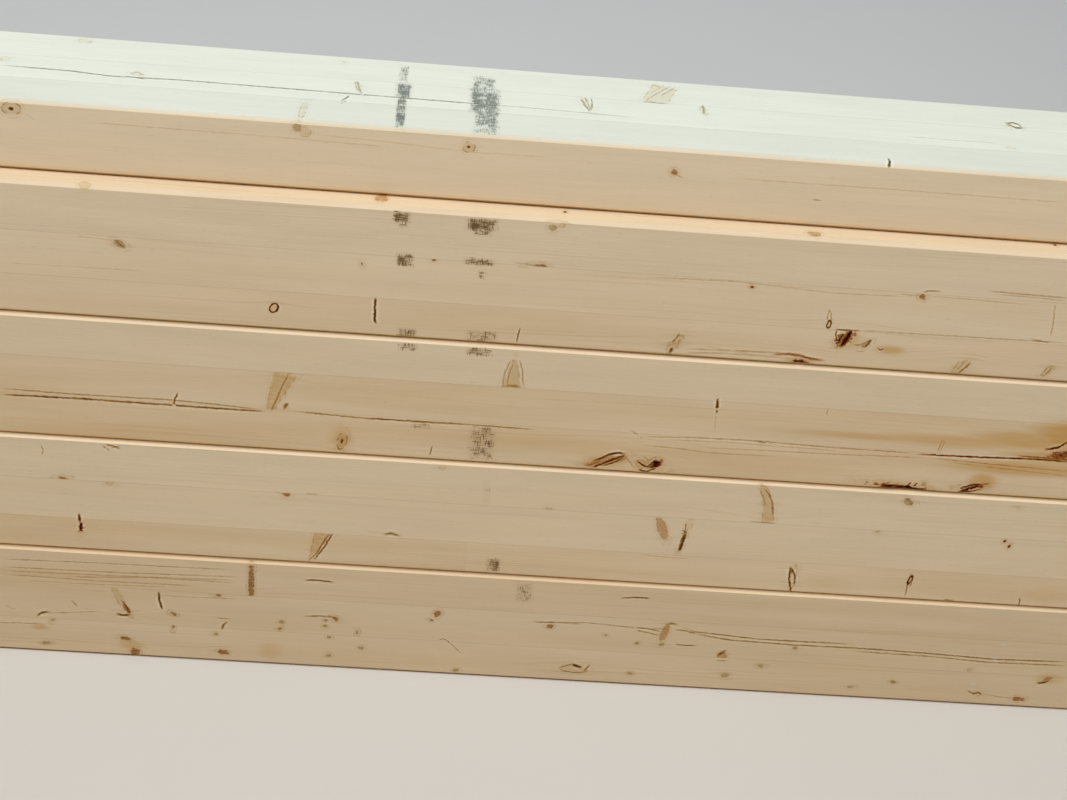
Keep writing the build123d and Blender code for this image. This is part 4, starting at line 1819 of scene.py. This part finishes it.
# The front beam of row 2
ROW2_BOARDS = (Board(tone=-0.01, warmth=0.24, contrast=0.4),
               Board(tone=-0.01, warmth=0.06, contrast=0.2, pith_up=30.0),
               Board(tone=-0.01, warmth=0.05, contrast=0.3))
ROW2_MARKS = (
    Shake(photo=((41.4, 445), (43, 450), (42, 455)), dark=0.35),
    Shake(photo=((102.5, 445.6), (106, 447.6), (109, 450.5)), width=1.2, dark=0.6),
    Shake(photo=((107, 444.6), (113, 446), (118.5, 448.4)), width=1.2, dark=0.7),
    Shake(photo=((110, 448.6), (114, 447), (119.5, 446)), width=1.0, dark=0.5),
    Knot(photo=(63, 478), long=6, short=2.2, kind=STREAK),
    Knot(photo=(110, 484), long=6, short=4, kind=FAINT),
    Knot(photo=(286, 494.2), long=6, short=4.2, lean=-12, kind=RED),
    Shake(photo=((277, 492), (280.5, 492.6))),
    Shake(photo=((308, 493.6), (318, 494.6)), width=1.0, dark=0.35),
    Shake(photo=((79, 514.6), (79.4, 518), (79.8, 521.4)), width=1.6, dark=1.0),
    Knot(photo=(80.8, 527), long=7, short=2.6, lean=86, kind=BARK),
    Shake(photo=((81.2, 522.6), (80.6, 527), (81, 531)), width=1.7, dark=1.0),
    Knot(photo=(316.5, 546), long=32, short=8, lean=70, kind=SPIKE, taper=0.75),
    Shake(photo=((332.8, 533.5), (323.7, 547.7), (313.7, 560.2)), width=1.2, dark=0.7),
    Shake(photo=((328.9, 533.5), (317, 553), (309.5, 560.2)), width=1.1, dark=0.6),
    Shake(photo=((384, 534.4), (391, 533.2), (399, 535.6)), width=2.2, dark=0.6),
    Shake(photo=((366, 531.8), (384, 533.4)), width=0.8, dark=0.15),
    Knot(photo=(442, 468), long=5, short=3, kind=FAINT),
    Patch(photo=(493, 565), long=14, tall=17, amount=0.69),
    Patch(photo=(487, 492), long=7, tall=28, amount=0.3),
    Knot(photo=(549, 509), long=5, short=4, kind=FAINT),
    Knot(photo=(662.3, 529.3), long=25, short=8.6, lean=112, kind=WARM),
    Knot(photo=(662, 526.5), long=3, short=2, lean=100),
    Knot(photo=(682.4, 541), long=19, short=2.8, lean=80, kind=STREAK),
    Shake(photo=((684.8, 534), (682.6, 542), (679.6, 551)), width=1.7, dark=0.75),
    Shake(photo=((686.3, 523.6), (685.6, 528), (684.6, 532.6)), width=0.8, dark=0.6),
    Shake(photo=((681.6, 530), (685, 531.6), (688.6, 533.6)), width=0.8, dark=0.55),
    Shake(photo=((682.2, 534), (685, 531.8), (688, 529)), width=0.8, dark=0.55),
    Knot(photo=(768, 505), long=40, short=8.5, lean=103, kind=SPIKE, taper=-0.25, bend=0.6),
    Shake(photo=((763.3, 487.7), (769, 494), (772.6, 502.7), (772.8, 516)), width=1.1, dark=0.45),
    Shake(photo=((757.4, 487), (763, 495.5), (765.6, 506)), dark=0.25),
    Shake(photo=((749, 521.4), (760, 522.2), (776, 523.4))),
    Knot(photo=(792, 579), long=30, short=6, lean=88, kind=FAINT),
    Shake(photo=((790.8, 566.5), (789, 578), (790.9, 593)), width=1.3, dark=0.85),
    Shake(photo=((791.2, 567), (795, 575.7), (794, 585)), width=1.1, dark=0.75),
    Shake(photo=((790.7, 568), (790.8, 573)), width=2.4, dark=0.9),
    Knot(photo=(908.4, 501.6), long=8.5, short=6, lean=-35),
    Shake(photo=((906, 498), (909.4, 501), (911.6, 504.6)), width=1.3, dark=0.35),
    Shake(photo=((917, 499), (919, 503), (920, 506)), width=0.7, dark=0.2),
    Knot(photo=(1018, 507), long=5, short=4, kind=FAINT),
    Knot(photo=(878, 531), long=4, short=3),
    Knot(photo=(1004.8, 541.3), long=3.6, short=3, lean=70, kind=PIN),
    Knot(photo=(1009, 546.4), long=4.4, short=2.8, lean=70, kind=PIN),
    Knot(photo=(910, 580), long=9, short=3, lean=78, kind=LOOSE),
    Shake(photo=((911.4, 573), (907.6, 584), (905, 596)), width=1.0, dark=0.55),
    Shake(photo=((911, 575), (912.6, 580), (909.5, 587)), dark=0.5),
    Shake(photo=((944, 599), (949, 600.4), (954, 600)), width=1.2, dark=0.5),
    Shake(photo=((1020, 598), (1018, 610)), width=1.0, dark=0.7),
    Patch(photo=(1047, 594), long=70, tall=26, soil=RESIN, amount=0.24),
    Patch(photo=(990, 588), long=260, tall=36, soil=RESIN, amount=0.13),
    Patch(photo=(828, 585), long=60, tall=26, soil=RESIN, amount=0.14),
    Shake(photo=((640, 555), (690, 559)), width=0.8, dark=0.2),
)

# The front beam of row 1, whose boards are the knottiest
ROW1_BOARDS = (Board(tone=-0.05, warmth=0.17, contrast=0.5),
               Board(tone=-0.06, warmth=0.15, contrast=0.45, pith_up=30.0),
               Board(tone=-0.06, warmth=0.18, contrast=0.5, ring=2.0))
ROW1_MARKS = (
    Knot(photo=(118, 596), long=30, short=6, lean=112, kind=FAINT, taper=-0.3),
    Shake(photo=((121, 600), (126, 606), (129.4, 613)), width=1.1, dark=0.6),
    Knot(photo=(125, 607), long=15, short=4.6, lean=119, kind=STREAK),
    Shake(photo=((118.6, 614.2), (123, 615.2), (128.4, 615)), width=1.8, dark=0.85),
    Shake(photo=((158.6, 592), (159.4, 600), (162, 609)), width=1.5, dark=0.95),
    Knot(photo=(251.3, 582), long=40, short=4.2, lean=90, kind=STREAK),
    Knot(photo=(173.3, 613.6), long=3.4, short=2, lean=-20, kind=STREAK),
    Knot(photo=(173, 626.4), long=4.6, short=2, lean=88, kind=STREAK),
    Shake(photo=((226.6, 622), (223.6, 624.6), (222, 629)), width=1.5, dark=0.6),
    Shake(photo=((217, 618), (223, 618.4), (229, 618.8)), dark=0.4),
    Knot(photo=(216, 634), long=3, short=2),
    Knot(photo=(218, 595), long=4, short=1.8, lean=-10, kind=STREAK),
    Shake(photo=((37.5, 616), (41.6, 612.2), (48.4, 612)), width=1.6, dark=0.85),
    Shake(photo=((72.6, 601), (74.6, 603.6), (77, 606)), width=1.2, dark=0.55),
    Shake(photo=((8, 606), (12, 608.6)), width=1.2, dark=0.5),
    Knot(photo=(53, 620), long=4, short=2.6, lean=60),
    Patch(photo=(40, 627), long=20, tall=7, soil=RESIN, amount=0.5),
    Knot(photo=(47, 643), long=6, short=3),
    Knot(photo=(125.4, 638.3), long=7, short=3.2, lean=-8, kind=STREAK),
    Knot(photo=(135, 651.6), long=8.6, short=8, kind=RED),
    Patch(photo=(132, 645), long=28, tall=14, soil=RESIN, amount=0.4),
    Knot(photo=(223, 652.2), long=8, short=5.6, lean=-8, kind=RED),
    Knot(photo=(282, 622), long=4, short=3),
    Knot(photo=(280, 629), long=3, short=2, lean=30, kind=STREAK),
    Shake(photo=((305, 580), (319, 580.4), (334, 582.4)), width=1.3, dark=0.7),
    Shake(photo=((304, 616.4), (320, 616), (332, 616.8), (337, 618.6)), width=1.3, dark=0.5),
    Knot(photo=(335.6, 618.8), long=6, short=3.6, lean=-25, kind=STREAK),
    Knot(photo=(326, 620.4), long=2.6, short=2),
    Knot(photo=(325, 625.8), long=2.6, short=2),
    Knot(photo=(357.2, 632.3), long=3.2, short=1.9, lean=88, kind=STREAK),
    Knot(photo=(329, 637), long=2.6, short=2),
    Knot(photo=(361, 648), long=4, short=3),
    Knot(photo=(328, 655), long=4, short=3),
    Knot(photo=(437.4, 613.8), long=7.5, short=5.6, lean=80, kind=RED),
    Knot(photo=(431.4, 619.8), long=3, short=1.8, lean=-20, kind=STREAK),
    Shake(photo=((439, 640), (444, 638.6), (450, 643), (461, 653)), dark=0.45),
    Knot(photo=(456, 670), long=4, short=3),
    Patch(photo=(524, 592), long=16, tall=24, amount=0.5),
    Knot(photo=(549.8, 626.4), long=5, short=3.8, lean=-15, kind=STREAK),
    Shake(photo=((532, 622), (556, 622.4), (582, 624)), width=1.2, dark=0.35),
    Shake(photo=((621, 598), (635, 597.4), (650, 598.4)), width=1.3, dark=0.7),
    Knot(photo=(664.4, 633), long=19, short=6.4, lean=80, kind=WARM),
    Shake(photo=((667, 624.4), (671, 623.4), (676.6, 624.4)), width=1.8, dark=0.45),
    Shake(photo=((636, 627.6), (648, 628.6), (660.4, 631.4)), width=1.2, dark=0.5),
    Shake(photo=((636, 630.4), (648, 632.6), (659, 635.4)), width=1.1, dark=0.4),
    Shake(photo=((675, 629.4), (686, 631), (698, 634)), width=1.2, dark=0.45),
    Shake(photo=((676, 644.4), (686, 645.6), (696, 645.4)), width=1.2, dark=0.6),
    Knot(photo=(662, 644), long=4, short=2.6, lean=40),
    Knot(photo=(605, 635), long=3, short=2.4),
    Knot(photo=(637, 643), long=3, short=2.4),
    Knot(photo=(722, 656), long=9, short=9.5, lean=10, kind=WARM),
    Shake(photo=((717, 656.4), (721, 653), (726, 651)), width=2.2, dark=0.55),
    Shake(photo=((716.6, 660.4), (722, 660.8), (727.6, 660.6)), width=1.0, dark=0.4),
    Knot(photo=(724.7, 675.4), long=7, short=5, lean=-15),
    Knot(photo=(573, 669), long=26, short=9, lean=-5, kind=FAINT, pull=1.6),
    Shake(photo=((560, 667.4), (571.3, 664), (581.3, 667.3)), width=1.1, dark=0.5),
    Shake(photo=((573.4, 664.6), (576.4, 665.8), (580, 667)), width=2.2, dark=0.85),
    Shake(photo=((561, 670.6), (573, 672.4), (583, 672.4)), width=1.0, dark=0.4),
    Shake(photo=((583.6, 671), (586.6, 668.6), (589, 665)), width=1.2, dark=0.55),
    Knot(photo=(630, 673), long=4, short=3),
    Knot(photo=(761, 666), long=5, short=3),
    Shake(photo=((524, 621.7), (587, 622.7), (640, 628.3), (674, 629.4)), width=1.0, dark=0.36),
    Shake(photo=((690, 633), (730, 640), (794, 645), (860, 648.3), (927, 653.3), (994, 659.3), (1071, 662)),
          width=1.2, dark=0.55),
    Shake(photo=((680, 626), (694, 631.7), (760, 639.3), (800, 641.4), (856, 644.4)), width=1.2, dark=0.5),
    Shake(photo=((850, 651), (925, 656), (990, 662.4), (1071, 666)), width=1.1, dark=0.45),
    Patch(photo=(270, 651), long=26, tall=24, soil=RESIN, amount=0.25),
    Knot(photo=(795, 648), long=4, short=3),
    Knot(photo=(893, 682), long=4, short=3),
    Knot(photo=(851, 687), long=5, short=3),
    Knot(photo=(970, 670), long=5, short=3.4, kind=FAINT),
    Patch(photo=(994, 660), long=6, tall=5, soil=PALE, amount=0.9),
    Patch(photo=(1005, 645), long=5, tall=4, soil=PALE, amount=0.8),
    Patch(photo=(972, 684), long=6, tall=3, soil=PALE, amount=0.7),
    Knot(photo=(977, 694), long=8, short=5, kind=FAINT, pull=1.5),
    Knot(photo=(1018.4, 699), long=10, short=5, kind=RED, pull=1.6),
    Shake(photo=((984, 694), (1000, 697), (1012, 698)), width=1.0),
    Shake(photo=((1038, 682.8), (1043, 683.4), (1048.6, 680.4)), width=1.6, dark=0.85),
    Knot(photo=(1047.4, 679), long=12, short=4.4, lean=38, kind=WARM),
    Patch(photo=(1049, 679), long=30, tall=16, soil=RESIN, amount=0.4),
    Patch(photo=(870, 640), long=560, tall=44, soil=RESIN, amount=0.12),
    Patch(photo=(1040, 652), long=240, tall=50, soil=RESIN, amount=0.1),
    Patch(photo=(70, 584), long=330, tall=46, soil=RESIN, amount=0.12),
    Shake(photo=((968, 690.4), (973, 694), (978, 692.2), (984, 696)), width=1.3, dark=0.6),
    Shake(photo=((60, 576.4), (90, 577), (150, 577.6), (240, 583)), width=1.0),
    Shake(photo=((-4, 558.6), (100, 563), (235, 570)), dark=0.32),
    Shake(photo=((-4, 566.4), (120, 572.6), (245, 577)), dark=0.32),
    Shake(photo=((-4, 570.4), (110, 575.6), (240, 580.5)), dark=0.28),
    Shake(photo=((0, 574), (40, 576.6), (92, 580.6), (200, 586)), width=1.0, dark=0.28),
    Shake(photo=((20, 580), (88, 584), (170, 587)), dark=0.22),
    Shake(photo=((92, 590.6), (100, 591.4), (106, 591)), dark=0.2),
    Shake(photo=((49, 613), (70, 612.4), (100, 611.4))),
    Shake(photo=((-4, 622.4), (18, 622.8), (46, 624.4)), width=1.0, dark=0.35),
    Shake(photo=((152, 594.6), (190, 597), (240, 599)), dark=0.22),
)


def stacked_beams() -> list[GlulamBeam]:
    """Give the beams of the stack, with the ones that the reference view shows first.

    Returns:
        The beams.
    """
    front = partial(GlulamBeam, plain_middle=520.0, knots_per_metre=50.0)
    # The top beam's wide face is painted pale as a highlight, and the front beams' arrises are painted
    # lighter as a highlight, most on the lowest rows.
    beams = [
        front(1, "top_flat_beam", Lie.FACING_UP, (-22.0, 17.5), TOP_BOARDS, TOP_MARKS, bleach=0.8,
              edges=(0.04, 0.06), rows=(14, 3, 18, 2)),
        front(2, "row4_front_beam", Lie.FACING_FRONT, (-23.4, 16.4), ROW4_BOARDS, ROW4_MARKS,
              edges=(0.03, 0.0), rows=(22, 12, 3, 2)),
        front(3, "row3_front_beam", Lie.FACING_FRONT, (-18.0, 19.7), ROW3_BOARDS, ROW3_MARKS,
              edges=(0.16, 0.0)),
        front(4, "row2_front_beam", Lie.FACING_FRONT, (-24.9, 16.3), ROW2_BOARDS, ROW2_MARKS,
              joints=((0, 480.0),), edges=(0.19, 0.0)),
        front(5, "row1_front_beam", Lie.FACING_FRONT, (-20.0, 20.0), ROW1_BOARDS, ROW1_MARKS,
              edges=(0.22, 0.0)),
    ]
    random = np.random.default_rng(2)
    for row in range(1, 5):
        boards = tuple(Board(tone=random.normal(0, 0.03), warmth=random.uniform(0, 0.3),
                             contrast=random.uniform(0.35, 0.8), pith_out=random.uniform(-40, 40),
                             pith_up=random.uniform(-60, 60)) for _ in range(3))
        glue = (random.uniform(-24, -17), random.uniform(16, 21))
        beams.append(GlulamBeam(5 + row, f"row{row}_back_beam", Lie.FACING_BACK, glue, boards,
                                stations=420, middle_step=1.0, rows=(10, 6, 3, 2)))
        beams.append(GlulamBeam(9 + row, f"row{row}_middle_beam", Lie.FACING_FRONT, glue, boards[::-1],
                                stations=60, middle_step=1.0, rows=(6, 6, 6, 6), knots_per_metre=0.0))
    return beams


def main() -> None:
    """Build the view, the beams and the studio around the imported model."""
    logging.basicConfig(level=logging.INFO, format="%(message)s")
    front_y = min(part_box(node)[0][1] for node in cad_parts) / MM
    view = ReferenceView(front_y)
    view.build()
    materials = (PlanedSpruce().build(), SawnEnd().build())
    planer = Planer()
    for beam in stacked_beams():
        beam.build(planer, view, materials)
    Studio().build()


if __name__ == "__main__":
    main()
